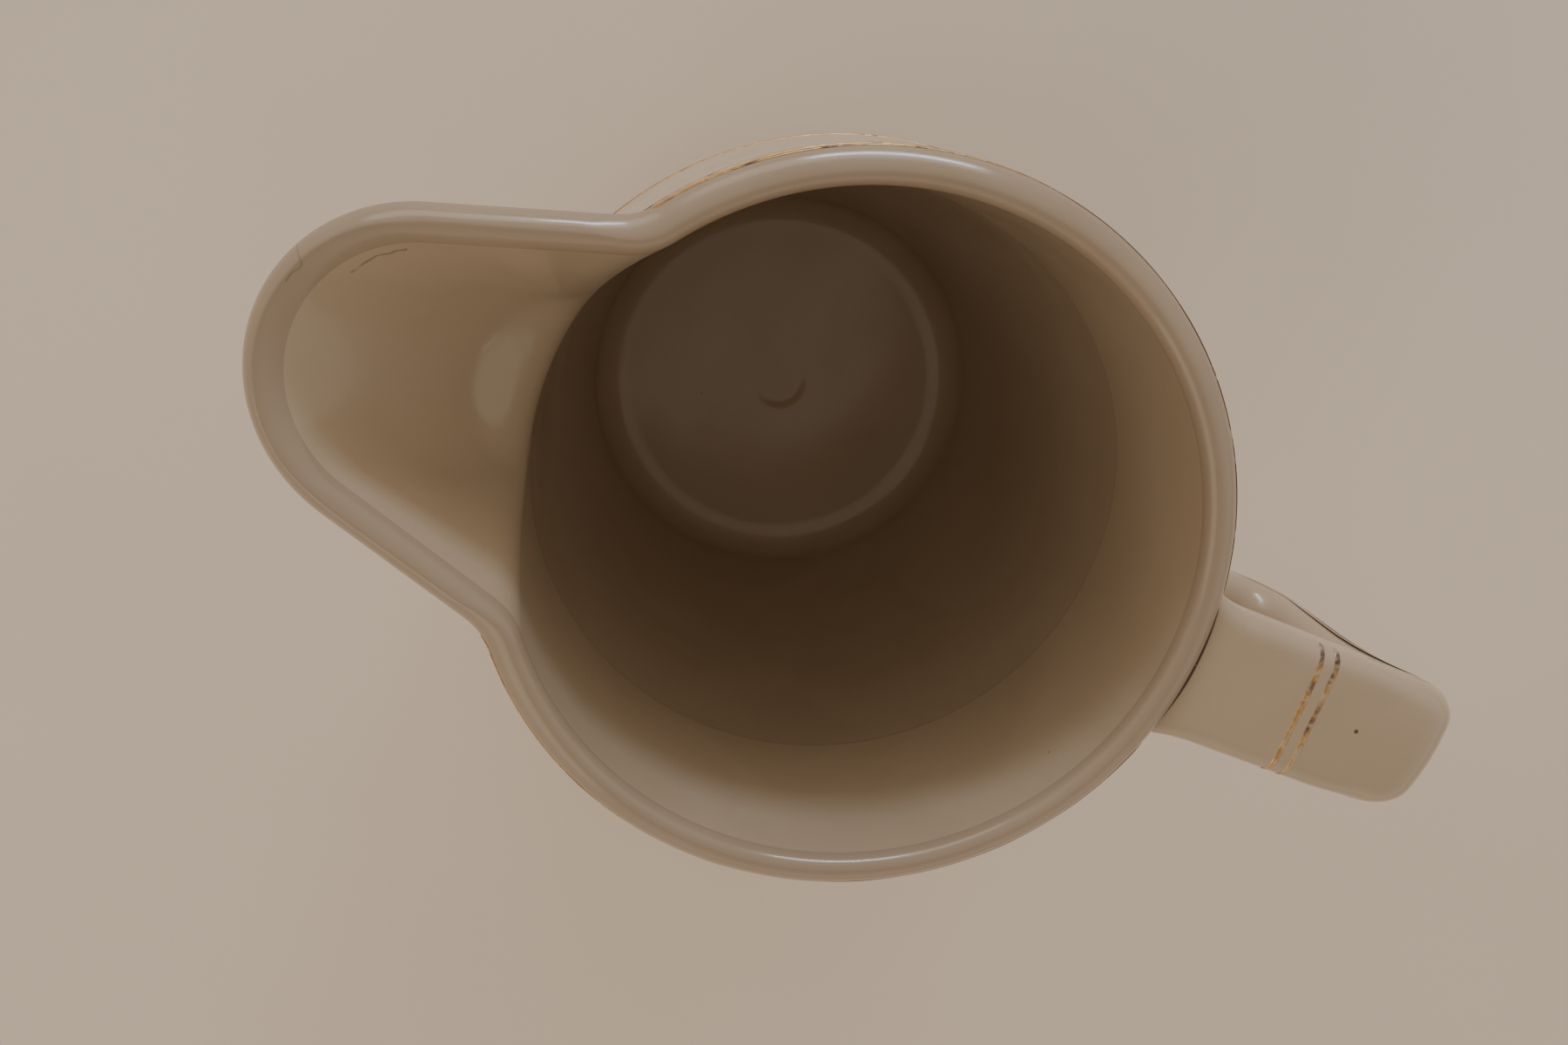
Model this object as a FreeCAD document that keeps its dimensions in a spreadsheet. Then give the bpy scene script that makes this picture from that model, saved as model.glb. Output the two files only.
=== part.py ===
"""A glazed earthenware pitcher with gilt lines, as a parametric FreeCAD document.

Millimetres. +Z is up, the origin is on the pot's axis in the plane of its foot, the spout points
along +X and the handle along -X. The pot is cast in two pieces, body and handle, which are luted
together with slip. The body casting is cut at its real edges into foot ring, base, wall, collar,
spout and lip, and the gilt lines lie on the glaze as thin bands of their own.
"""
import FreeCAD, Part
import math
import os
import Sketcher

# Driving dimensions: (alias, size, what it is). Millimetres, and degrees where the name says angle.
SIZES = [
    ("pot_height", 134.0, "foot plane to top of lip"),
    ("mouth_radius", 50.0, "inside of the lip and of the collar"),
    ("lip_thickness", 5.1, "wall at the lip"),
    ("lip_rise", 2.6, "height of the rounded lip"),
    ("crease_height", 96.4, "level where collar and belly wall meet"),
    ("collar_swell", 1.2, "how much wider the collar is outside at its lower edge than at the lip"),
    ("collar_hem", 3.0, "height of the rounded lower edge of the collar"),
    ("groove_depth", 0.7, "groove outside between collar and belly"),
    ("crease_step", 0.7, "undercut inside, just below the collar"),
    ("belly_wall", 5.2, "thickness of the belly wall"),
    ("belly_bow", 304.0, "radius of the belly's upright curve"),
    ("heel_radius", 48.0, "outside of the belly wall where it meets the base"),
    ("floor_level", 9.6, "inside floor above the foot plane"),
    ("floor_cove", 4.0, "hollow curve between floor and wall"),
    ("foot_radius", 43.0, "outside of the foot ring"),
    ("foot_width", 4.6, "width of the foot ring"),
    ("foot_height", 3.2, "height of the foot ring"),
    ("foot_round", 1.0, "rounding of the foot ring's lower edges"),
    ("spout_reach", 87.0, "axis to the tip of the spout, at the lip"),
    ("spout_tip_radius", 23.3, "plan radius of the spout's tip, at the lip"),
    ("spout_side_angle", 19.0, "how fast the spout's sides draw together"),
    ("spout_middle_stand", 16.9, "how far the spout's front stands out of the lip's radius, half way down"),
    ("spout_middle_radius", 21.0, "plan radius of the spout's front, half way down"),
    ("spout_low_stand", 0.9, "how far the spout's front stands out of the lip's radius, at the crease"),
    ("spout_low_radius", 18.0, "plan radius of the spout's front, at the crease"),
    ("spout_slope_wall", 6.2, "spout wall measured level, half way down, where its front slopes"),
    ("spout_hollow_lap", 0.2, "how far inside the collar's hollow the spout's hollow starts"),
    ("spout_back_inset", 20.0, "mouth radius less the plane where the spout's sections close"),
    ("handle_reach", 104.5, "axis to the outside of the grip"),
    ("handle_width", 22.4, "width of the handle"),
    ("handle_thickness", 10.0, "thickness of the handle's arms and grip"),
    ("handle_drop", 1.5, "top of the handle below the top of the lip"),
    ("handle_height", 62.5, "height of the handle outside"),
    ("handle_corner", 9.0, "outer corner radius of the handle seen from the side"),
    ("handle_inner_corner", 5.0, "inner corner radius of the handle seen from the side"),
    ("handle_edge", 3.0, "rounding along the handle's edges"),
    ("luting_length", 6.5, "length of the slip joint outside the lip's radius"),
    ("luting_flare", 3.2, "how much the slip joint spreads to each side at the pot"),
    ("luting_depth", 4.5, "how much the slip joint thickens at the pot"),
    ("gilt_thickness", 0.15, "thickness of a gilt line"),
    ("gilt_width", 0.9, "width of a gilt line"),
    ("lip_line_drop", 0.65, "lip plane to the first line under the lip"),
    ("lip_line_pitch", 3.2, "first to second line under the lip"),
    ("crease_line_rise", 4.0, "crease to the line on the collar's lower edge"),
    ("handle_line_reach", 74.4, "axis to the first line across the handle"),
    ("handle_line_pitch", 2.8, "first to second line across the handle"),
]

document = FreeCAD.newDocument("pitcher")

# Lengths that several pieces share, written once as expressions on the sheet.
LIP_PLANE = "(Sizes.pot_height - Sizes.lip_rise)"
MIDDLE_PLANE = f"(({LIP_PLANE} + Sizes.crease_height) / 2)"
LIP_RADIUS = "(Sizes.mouth_radius + Sizes.lip_thickness)"
HEM_RADIUS = f"({LIP_RADIUS} + Sizes.collar_swell)"
HEM_TOP = "(Sizes.crease_height + Sizes.collar_hem)"
GROOVE_RADIUS = f"({HEM_RADIUS} - Sizes.groove_depth)"
UNDERCUT_RADIUS = "(Sizes.mouth_radius + Sizes.crease_step)"
HEEL_INSIDE = "(Sizes.heel_radius - Sizes.belly_wall)"
HEEL_BOW = "((Sizes.floor_level - Sizes.foot_height) * 1.5)"
HEM_BOW = "(Sizes.collar_hem * 1.6)"
HANDLE_TOP = "(Sizes.pot_height - Sizes.handle_drop)"
HANDLE_BOTTOM = f"({HANDLE_TOP} - Sizes.handle_height)"
HALF_HANDLE = "(Sizes.handle_width / 2)"
LUTING_REACH = f"({LIP_RADIUS} + Sizes.luting_length)"
LUTING_ROOT = "Sizes.mouth_radius"
SPOUT_BACK = "(Sizes.mouth_radius - Sizes.spout_back_inset)"
SPOUT_LOW_REACH = f"({LIP_RADIUS} + Sizes.spout_low_stand)"
SPOUT_MIDDLE_REACH = f"({LIP_RADIUS} + Sizes.spout_middle_stand)"


def make_sheet():
    """The spreadsheet with the driving dimensions."""
    sheet = document.addObject("Spreadsheet::Sheet", "Sizes")
    for row, (alias, size, meaning) in enumerate(SIZES, start=1):
        sheet.set(f"A{row}", meaning)
        sheet.set(f"B{row}", str(size))
        sheet.setAlias(f"B{row}", alias)
    document.recompute()
    return sheet


sheet = make_sheet()


def value(expression):
    """The number that an expression on the sheet comes to."""
    result = sheet.evalExpression(expression)
    return float(getattr(result, "Value", result))


def make_body(label):
    body = document.addObject("PartDesign::Body", label)
    body.Label = label
    return body


def make_sketch(body, role, name, offset=None):
    """A sketch on one of the body's origin planes, moved along the plane's normal by an expression."""
    sketch = body.newObject("Sketcher::SketchObject", name)
    plane = next(item for item in body.Origin.OriginFeatures if item.Role == role)
    sketch.AttachmentSupport = [(plane, "")]
    sketch.MapMode = "FlatFace"
    if offset:
        sketch.setExpression("AttachmentOffset.Base.z", offset)
    return sketch


def hold(sketch, kind, *arguments):
    """Adds a sized constraint, whose last argument is an expression on the sheet."""
    expression = arguments[-1]
    size = value(expression)
    if kind == "Angle":
        size = math.radians(size)
    index = sketch.addConstraint(Sketcher.Constraint(kind, *arguments[:-1], size))
    unit = " * 1 deg" if kind == "Angle" else " * 1 mm"
    sketch.setExpression(f"Constraints[{index}]", f"({expression}){unit}")


def arc_between(start, end, radius, turn):
    """The arc of a circle from start to end. turn is +1 for anticlockwise and -1 for clockwise."""
    chord = end - start
    rise = math.sqrt(max(radius**2 - (chord.Length / 2) ** 2, 0.0))
    side = FreeCAD.Vector(-chord.y, chord.x, 0).normalize() * turn
    centre = (start + end) / 2 + side * rise
    first, last = (start, end) if turn > 0 else (end, start)
    angles = [math.atan2(point.y - centre.y, point.x - centre.x) for point in (first, last)]
    circle = Part.Circle(centre, FreeCAD.Vector(0, 0, 1), radius)
    return Part.ArcOfCircle(circle, *angles)


def draw_outline(sketch, corners, arcs=None):
    """Draws a closed outline through corners, pairs of expressions, each held by its two distances.

    A side is a straight line, unless arcs has its number: then it is (radius expression, turn).
    """
    arcs = arcs or {}
    points = [FreeCAD.Vector(value(across), value(up), 0) for across, up in corners]
    ends = []
    for number, start in enumerate(points):
        end = points[(number + 1) % len(points)]
        if number in arcs:
            radius, turn = arcs[number]
            side = sketch.addGeometry(arc_between(start, end, value(radius), turn))
            ends.append((side, 1, 2) if turn > 0 else (side, 2, 1))
        else:
            side = sketch.addGeometry(Part.LineSegment(start, end))
            ends.append((side, 1, 2))
    for number, (side, first, _) in enumerate(ends):
        before, _, last = ends[number - 1]
        sketch.addConstraint(Sketcher.Constraint("Coincident", before, last, side, first))
        hold(sketch, "DistanceX", side, first, corners[number][0])
        hold(sketch, "DistanceY", side, first, corners[number][1])
    for number, (radius, _) in arcs.items():
        hold(sketch, "Radius", ends[number][0], radius)


def turn_round(body, corners, arcs=None, kind="Revolution"):
    """Turns an upright outline once round the pot's axis: Revolution adds it, Groove cuts it."""
    sketch = make_sketch(body, "XZ_Plane", f"{body.Label}_{kind.lower()}_outline")
    draw_outline(sketch, corners, arcs)
    feature = body.newObject(f"PartDesign::{kind}", f"{body.Label}_{kind.lower()}")
    feature.Profile = sketch
    feature.ReferenceAxis = (sketch, ["V_Axis"])
    feature.Angle = 360.0
    document.recompute()
    return feature


def cut_pot_away(body):
    """Cuts away everything inside the pot's outer face, so that the body stands on that face."""
    top = "(Sizes.pot_height + Sizes.lip_rise)"
    corners = [
        ("0", "0"),
        ("Sizes.foot_radius", "0"),
        ("Sizes.foot_radius", "Sizes.foot_height"),
        ("Sizes.heel_radius", "Sizes.floor_level"),
        (GROOVE_RADIUS, "Sizes.crease_height"),
        (HEM_RADIUS, HEM_TOP),
        (LIP_RADIUS, LIP_PLANE),
        (LIP_RADIUS, top),
        ("0", top),
    ]
    arcs = {
        2: (HEEL_BOW, 1),
        3: ("Sizes.belly_bow", 1),
        4: (HEM_BOW, 1),
    }
    turn_round(body, corners, arcs, kind="Groove")


def make_foot_ring():
    """The unglazed ring that the pot stands on, with rounded lower edges."""
    body = make_body("foot_ring")
    inside = "(Sizes.foot_radius - Sizes.foot_width)"
    corners = [
        (f"{inside} + Sizes.foot_round", "0"),
        ("Sizes.foot_radius - Sizes.foot_round", "0"),
        ("Sizes.foot_radius", "Sizes.foot_round"),
        ("Sizes.foot_radius", "Sizes.foot_height"),
        (inside, "Sizes.foot_height"),
        (inside, "Sizes.foot_round"),
    ]
    turn_round(body, corners, {1: ("Sizes.foot_round", 1), 5: ("Sizes.foot_round", 1)})
    return body


def make_base():
    """The floor of the pot, with the heel that curves out to the belly wall."""
    body = make_body("base_floor")
    corners = [
        ("0", "Sizes.foot_height"),
        ("Sizes.foot_radius", "Sizes.foot_height"),
        ("Sizes.heel_radius", "Sizes.floor_level"),
        ("0", "Sizes.floor_level"),
    ]
    turn_round(body, corners, {1: (HEEL_BOW, 1)})
    return body


def make_belly_wall():
    """The belly wall, bowed outwards, with the cove at the floor and the undercut at the crease."""
    body = make_body("belly_wall")
    corners = [
        (f"{HEEL_INSIDE} - Sizes.floor_cove", "Sizes.floor_level"),
        ("Sizes.heel_radius", "Sizes.floor_level"),
        (GROOVE_RADIUS, "Sizes.crease_height"),
        (UNDERCUT_RADIUS, "Sizes.crease_height"),
        (HEEL_INSIDE, "Sizes.floor_level + Sizes.floor_cove"),
    ]
    arcs = {
        1: ("Sizes.belly_bow", 1),
        3: ("Sizes.belly_bow", -1),
        4: ("Sizes.floor_cove", -1),
    }
    turn_round(body, corners, arcs)
    return body


def draw_spout_section(sketch, reach, radius):
    """A level section through the spout: two sides that draw together to a round front."""
    centre, across = f"({reach} - {radius})", "(Sizes.spout_side_angle * 1 deg)"
    touch_x = f"({centre} + {radius} * sin{across})"
    touch_y = f"({radius} * cos{across})"
    back_y = f"({touch_y} + ({touch_x} - {SPOUT_BACK}) * tan{across})"
    corners = [
        (SPOUT_BACK, f"-{back_y}"),
        (touch_x, f"-{touch_y}"),
        (touch_x, touch_y),
        (SPOUT_BACK, back_y),
    ]
    draw_outline(sketch, corners, {1: (radius, 1)})


def loft_spout(body, kind):
    """Lofts the spout from the crease to the lip: AdditiveLoft adds it, SubtractiveLoft its hollow."""
    levels = [
        ("Sizes.crease_height", SPOUT_LOW_REACH, "Sizes.spout_low_radius"),
        (MIDDLE_PLANE, SPOUT_MIDDLE_REACH, "Sizes.spout_middle_radius"),
        (LIP_PLANE, "Sizes.spout_reach", "Sizes.spout_tip_radius"),
    ]
    wall = "0"
    if kind == "SubtractiveLoft":
        wall = "Sizes.lip_thickness"
        hollow_reaches = (
            "Sizes.mouth_radius - Sizes.spout_hollow_lap",
            f"{SPOUT_MIDDLE_REACH} - Sizes.spout_slope_wall",
            f"Sizes.spout_reach - {wall}",
        )
        levels = [
            (height, reach, radius)
            for (height, _, radius), reach in zip(levels, hollow_reaches)
        ]
    sketches = []
    for number, (height, reach, radius) in enumerate(levels):
        sketch = make_sketch(body, "XY_Plane", f"{body.Label}_{kind}_{number}", height)
        draw_spout_section(sketch, f"({reach})", f"({radius} - {wall})")
        sketches.append(sketch)
    loft = body.newObject(f"PartDesign::{kind}", f"{body.Label}_{kind}")
    loft.Profile = sketches[0]
    loft.Sections = sketches[1:]
    document.recompute()
    return loft


def make_spout_form():
    """The spout's outer form, filled in. It trims the gilt lines and isn't a piece itself."""
    body = make_body("spout_form")
    loft_spout(body, "AdditiveLoft")
    return body


def make_spout():
    """The open spout, a hollow beak that stands on the collar's outer face."""
    body = make_body("pouring_spout")
    loft_spout(body, "AdditiveLoft")
    loft_spout(body, "SubtractiveLoft")
    cut_pot_away(body)
    return body


def make_collar():
    """The upright collar between belly and lip, open at the front into the spout."""
    body = make_body("neck_collar")
    corners = [
        ("Sizes.mouth_radius", "Sizes.crease_height"),
        (GROOVE_RADIUS, "Sizes.crease_height"),
        (HEM_RADIUS, HEM_TOP),
        (LIP_RADIUS, LIP_PLANE),
        ("Sizes.mouth_radius", LIP_PLANE),
    ]
    turn_round(body, corners, {1: (HEM_BOW, 1)})
    loft_spout(body, "SubtractiveLoft")
    return body


def draw_lip_loop(sketch, mouth, reach, radius):
    """The mouth's circle and the spout's two sides and tip, as one closed loop.

    The sides are tangent to the tip and run back at the side angle until they meet the circle.
    """
    angle = math.radians(value("Sizes.spout_side_angle"))
    size, tip, centre = value(mouth), value(radius), value(reach) - value(radius)
    along = FreeCAD.Vector(math.cos(angle), -math.sin(angle), 0)
    outward = FreeCAD.Vector(math.sin(angle), math.cos(angle), 0)
    offset = centre * math.sin(angle) + tip
    touch = FreeCAD.Vector(centre, 0, 0) + outward * tip
    meet = outward * offset + along * math.sqrt(size**2 - offset**2)
    low_touch, low_meet = (FreeCAD.Vector(point.x, -point.y, 0) for point in (touch, meet))
    upward = FreeCAD.Vector(0, 0, 1)
    round_mouth = Part.Circle(FreeCAD.Vector(), upward, size)
    round_tip = Part.Circle(FreeCAD.Vector(centre, 0, 0), upward, tip)
    meet_angle, touch_angle = math.atan2(meet.y, meet.x), math.pi / 2 - angle
    circle = sketch.addGeometry(Part.ArcOfCircle(round_mouth, meet_angle, -meet_angle))
    low_side = sketch.addGeometry(Part.LineSegment(low_meet, low_touch))
    front = sketch.addGeometry(Part.ArcOfCircle(round_tip, -touch_angle, touch_angle))
    high_side = sketch.addGeometry(Part.LineSegment(meet, touch))
    for constraint in (
        ("Coincident", circle, 3, -1, 1),
        ("Coincident", circle, 1, high_side, 1),
        ("Coincident", circle, 2, low_side, 1),
        ("Tangent", low_side, 2, front, 1),
        ("Tangent", high_side, 2, front, 2),
        ("PointOnObject", front, 3, -1),
    ):
        sketch.addConstraint(Sketcher.Constraint(*constraint))
    hold(sketch, "Radius", circle, mouth)
    hold(sketch, "Radius", front, radius)
    hold(sketch, "DistanceX", front, 3, f"{reach} - {radius}")
    hold(sketch, "Angle", low_side, "Sizes.spout_side_angle")
    hold(sketch, "Angle", high_side, "-Sizes.spout_side_angle")


def make_lip():
    """The rounded lip that runs round the mouth and the spout in one bead."""
    body = make_body("rim_lip")
    sketch = make_sketch(body, "XY_Plane", "rim_lip_outline", LIP_PLANE)
    draw_lip_loop(sketch, LIP_RADIUS, "Sizes.spout_reach", "Sizes.spout_tip_radius")
    draw_lip_loop(
        sketch,
        "Sizes.mouth_radius",
        "(Sizes.spout_reach - Sizes.lip_thickness)",
        "(Sizes.spout_tip_radius - Sizes.lip_thickness)",
    )
    pad = body.newObject("PartDesign::Pad", "rim_lip_pad")
    pad.Profile = sketch
    pad.setExpression("Length", "Sizes.lip_rise * 1 mm")
    document.recompute()
    top = value("Sizes.pot_height")
    edges = [
        f"Edge{number}"
        for number, edge in enumerate(pad.Shape.Edges, start=1)
        if edge.BoundBox.ZMin > top - 0.01
    ]
    fillet = body.newObject("PartDesign::Fillet", "rim_lip_round")
    fillet.Base = (pad, edges)
    fillet.setExpression("Radius", "min(Sizes.lip_rise; Sizes.lip_thickness / 2) * 0.96 * 1 mm")
    document.recompute()
    return body


def rounded_rectangle(sketch, left, right, bottom, top, radius):
    """An upright rectangle with rounded corners, given by expressions."""
    corners = [
        (f"{left} + {radius}", bottom),
        (f"{right} - {radius}", bottom),
        (right, f"{bottom} + {radius}"),
        (right, f"{top} - {radius}"),
        (f"{right} - {radius}", top),
        (f"{left} + {radius}", top),
        (left, f"{top} - {radius}"),
        (left, f"{bottom} + {radius}"),
    ]
    draw_outline(sketch, corners, {number: (radius, 1) for number in (1, 3, 5, 7)})


def make_luting(label, bottom, top, root_bottom, root_top):
    """A slip joint: it spreads from the end of a handle arm to the pot's outer face."""
    body = make_body(label)
    flare = f"({HALF_HANDLE} + Sizes.luting_flare)"
    ends = [
        (f"-{LUTING_REACH}", HALF_HANDLE, bottom, top),
        (f"-{LUTING_ROOT}", flare, root_bottom, root_top),
    ]
    sketches = []
    for number, (place, half, low, high) in enumerate(ends):
        sketch = make_sketch(body, "YZ_Plane", f"{label}_end_{number}", place)
        rounded_rectangle(sketch, f"-{half}", half, f"({low})", f"({high})", "Sizes.handle_edge")
        sketches.append(sketch)
    loft = body.newObject("PartDesign::AdditiveLoft", f"{label}_loft")
    loft.Profile = sketches[0]
    loft.Sections = sketches[1:]
    cut_pot_away(body)
    return body


def make_upper_luting():
    """The slip joint between the handle's top arm and the collar."""
    bottom = f"{HANDLE_TOP} - Sizes.handle_thickness"
    root_bottom = f"{bottom} - Sizes.luting_depth"
    return make_luting("upper_slip_joint", bottom, HANDLE_TOP, root_bottom, HANDLE_TOP)


def make_lower_luting():
    """The slip joint between the handle's lower arm and the belly wall."""
    top = f"{HANDLE_BOTTOM} + Sizes.handle_thickness"
    root_bottom = f"{HANDLE_BOTTOM} - Sizes.luting_depth / 2"
    root_top = f"{top} + Sizes.luting_depth / 2"
    return make_luting("lower_slip_joint", HANDLE_BOTTOM, top, root_bottom, root_top)


def make_handle():
    """The squared loop handle: top arm, upright grip and lower arm, cast in one."""
    body = make_body("handle")
    sketch = make_sketch(body, "XZ_Plane", "handle_side")
    near, far = f"-{LUTING_REACH}", "-Sizes.handle_reach"
    inner_far = "(-Sizes.handle_reach + Sizes.handle_thickness)"
    inner_top = f"({HANDLE_TOP} - Sizes.handle_thickness)"
    inner_bottom = f"({HANDLE_BOTTOM} + Sizes.handle_thickness)"
    outer, inner = "Sizes.handle_corner", "Sizes.handle_inner_corner"
    corners = [
        (near, HANDLE_TOP),
        (f"{far} + {outer}", HANDLE_TOP),
        (far, f"{HANDLE_TOP} - {outer}"),
        (far, f"{HANDLE_BOTTOM} + {outer}"),
        (f"{far} + {outer}", HANDLE_BOTTOM),
        (near, HANDLE_BOTTOM),
        (near, inner_bottom),
        (f"{inner_far} + {inner}", inner_bottom),
        (inner_far, f"{inner_bottom} + {inner}"),
        (inner_far, f"{inner_top} - {inner}"),
        (f"{inner_far} + {inner}", inner_top),
        (near, inner_top),
    ]
    arcs = {1: (outer, 1), 3: (outer, 1), 7: (inner, -1), 9: (inner, -1)}
    draw_outline(sketch, corners, arcs)
    pad = body.newObject("PartDesign::Pad", "handle_pad")
    pad.Profile = sketch
    pad.Midplane = True
    pad.setExpression("Length", "Sizes.handle_width * 1 mm")
    document.recompute()
    side, end = value(HALF_HANDLE), value(near)
    edges = [
        f"Edge{number}"
        for number, edge in enumerate(pad.Shape.Edges, start=1)
        if edge.BoundBox.YLength < 0.01
        and abs(abs(edge.BoundBox.Center.y) - side) < 0.01
        and edge.BoundBox.XMin < end - 0.01
    ]
    fillet = body.newObject("PartDesign::Fillet", "handle_round")
    fillet.Base = (pad, edges)
    fillet.setExpression("Radius", "Sizes.handle_edge * 1 mm")
    document.recompute()
    return body


def collar_face(height):
    """The collar's outer radius at a height between hem and lip, where it is a straight cone."""
    share = f"(({LIP_PLANE} - {height}) / ({LIP_PLANE} - {HEM_TOP}))"
    return f"({LIP_RADIUS} + Sizes.collar_swell * {share})"


def make_collar_line(label, height, trims):
    """A gilt line round the collar. It stops at the spout and at the handle's joints, its trims."""
    body = make_body(f"{label}_ring")
    low, high = f"({height} - Sizes.gilt_width / 2)", f"({height} + Sizes.gilt_width / 2)"
    corners = [
        (collar_face(low), low),
        (f"{collar_face(low)} + Sizes.gilt_thickness", low),
        (f"{collar_face(high)} + Sizes.gilt_thickness", high),
        (collar_face(high), high),
    ]
    turn_round(body, corners)
    shape = body
    for number, tool in enumerate(trims):
        cut = document.addObject("Part::Cut", f"{label}_cut_{number}")
        cut.Base = shape
        cut.Tool = tool
        shape = cut
    document.recompute()
    shape.Label = label
    return shape


def make_handle_line(label, reach):
    """A gilt line across the handle's top arm, down over both rounded edges."""
    body = make_body(label)
    sketch = make_sketch(body, "YZ_Plane", f"{label}_outline", f"-({reach})")
    edge, film = "Sizes.handle_edge", "Sizes.gilt_thickness"
    side, shoulder = HALF_HANDLE, f"({HALF_HANDLE} - {edge})"
    base = f"({HANDLE_TOP} - {edge})"
    corners = [
        (f"{side} + {film}", base),
        (shoulder, f"{HANDLE_TOP} + {film}"),
        (f"-{shoulder}", f"{HANDLE_TOP} + {film}"),
        (f"-{side} - {film}", base),
        (f"-{side}", base),
        (f"-{shoulder}", HANDLE_TOP),
        (shoulder, HANDLE_TOP),
        (side, base),
    ]
    arcs = {
        0: (f"{edge} + {film}", 1),
        2: (f"{edge} + {film}", 1),
        4: (edge, -1),
        6: (edge, -1),
    }
    draw_outline(sketch, corners, arcs)
    pad = body.newObject("PartDesign::Pad", f"{label}_pad")
    pad.Profile = sketch
    pad.Midplane = True
    pad.setExpression("Length", "Sizes.gilt_width * 1 mm")
    document.recompute()
    return body


def build_pieces():
    """Every piece of the pitcher, in the order in which it is made."""
    upper_luting, lower_luting = make_upper_luting(), make_lower_luting()
    trims = (make_spout_form(), upper_luting, lower_luting)
    pieces = [
        make_foot_ring(),
        make_base(),
        make_belly_wall(),
        make_collar(),
        make_spout(),
        make_lip(),
        make_handle(),
        upper_luting,
        lower_luting,
    ]
    lip_line = f"({LIP_PLANE} - Sizes.lip_line_drop)"
    collar_lines = [
        ("lip_line_first", lip_line),
        ("lip_line_second", f"({lip_line} - Sizes.lip_line_pitch)"),
        ("crease_line", "(Sizes.crease_height + Sizes.crease_line_rise)"),
    ]
    for label, height in collar_lines:
        pieces.append(make_collar_line(label, height, trims))
    handle_line = "Sizes.handle_line_reach"
    pieces.append(make_handle_line("handle_line_inner", handle_line))
    pieces.append(
        make_handle_line("handle_line_outer", f"{handle_line} + Sizes.handle_line_pitch")
    )
    return pieces


def check(pieces):
    """Stops if an object of the document failed or a piece has no valid solid."""
    document.recompute()
    failed = [
        item.Name
        for item in document.Objects
        if "Invalid" in item.State or "Error" in item.State
    ]
    if failed:
        raise RuntimeError(f"failed objects: {failed}")
    for piece in pieces:
        shape = piece.Shape
        if shape.isNull() or not shape.isValid() or not shape.Solids:
            raise RuntimeError(f"{piece.Label} has no valid solid")


def export(pieces):
    """Writes each piece to parts/, under its label."""
    os.makedirs("parts", exist_ok=True)
    for piece in pieces:
        piece.Shape.exportStep(f"parts/{piece.Label}.step")
        print(f"{piece.Label}: {len(piece.Shape.Solids)} solid, {piece.Shape.Volume:.1f} mm3")


pieces = build_pieces()
check(pieces)
export(pieces)
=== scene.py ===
"""The looks of a glazed earthenware pitcher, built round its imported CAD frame.

Metres. +Z is up, the pot's axis is the Z axis, the foot stands on Z = 0, the spout points along +X
and the handle along -X. The pot is worked out as one surface over two parameters, the way round and
the way along its section, and cut into the pieces that the frame names, so that neighbours meet
point for point and share their normals.
"""
import logging
import math
from dataclasses import dataclass, field
from enum import Enum
from typing import Callable, Optional, Sequence

import bpy
import numpy as np
from mathutils import Matrix, Vector


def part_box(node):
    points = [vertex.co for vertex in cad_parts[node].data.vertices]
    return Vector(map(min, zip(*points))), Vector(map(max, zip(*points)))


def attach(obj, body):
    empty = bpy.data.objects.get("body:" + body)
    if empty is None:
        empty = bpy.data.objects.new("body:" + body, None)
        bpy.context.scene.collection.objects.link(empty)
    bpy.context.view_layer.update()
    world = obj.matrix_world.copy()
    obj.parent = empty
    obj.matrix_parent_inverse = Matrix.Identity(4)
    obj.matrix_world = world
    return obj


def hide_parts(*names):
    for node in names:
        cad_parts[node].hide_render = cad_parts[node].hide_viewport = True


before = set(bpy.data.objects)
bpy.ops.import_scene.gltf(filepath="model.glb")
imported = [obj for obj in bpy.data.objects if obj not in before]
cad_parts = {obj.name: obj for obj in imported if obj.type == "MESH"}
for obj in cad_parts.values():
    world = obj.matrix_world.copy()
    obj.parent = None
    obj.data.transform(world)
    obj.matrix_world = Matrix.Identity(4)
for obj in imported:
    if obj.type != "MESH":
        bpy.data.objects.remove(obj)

Array = np.ndarray
Socket = bpy.types.NodeSocket
Colour = tuple[float, float, float]

MM = 0.001
BODY = "root"
UP = np.array([0.0, 0.0, 1.0])

log = logging.getLogger("pitcher")


class Slot(Enum):
    """The record's material slots."""

    GLAZE = "cream_glaze"
    CLAY = "bare_clay"
    GILT = "gilt"


class Mark(Enum):
    """Numbers kept on a mesh's points, which its material reads."""

    THIN = "thin_glaze"
    POOL = "pooled_glaze"


# ---------------------------------------------------------------------------------------------
# Formulas
# ---------------------------------------------------------------------------------------------


def smooth_step(value: Array) -> Array:
    """Rises from 0 to 1 with level ends: three times the square less twice the cube."""
    held = np.clip(value, 0.0, 1.0)
    return held * held * (3.0 - 2.0 * held)


def smooth_max(first: Array, second: Array, blend: Array | float) -> Array:
    """The larger of two values, rounded where they cross.

    Where they differ by less than blend, a quarter of blend times the square of the share by which
    they do is added to the larger.

    Args:
        first: One surface's distance from the axis.
        second: The other's.
        blend: The difference at which the rounding starts.

    Returns:
        The rounded larger value.
    """
    share = np.clip(1.0 - np.abs(first - second) / blend, 0.0, 1.0)
    return np.maximum(first, second) + 0.25 * blend * share**2


def through_three(low: float, middle: float, top: float, share: Array) -> Array:
    """The parabola that is low at share 0, middle at a half and top at 1."""
    return (
        low * (1.0 - share) * (1.0 - 2.0 * share)
        + middle * 4.0 * share * (1.0 - share)
        + top * share * (2.0 * share - 1.0)
    )


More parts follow.
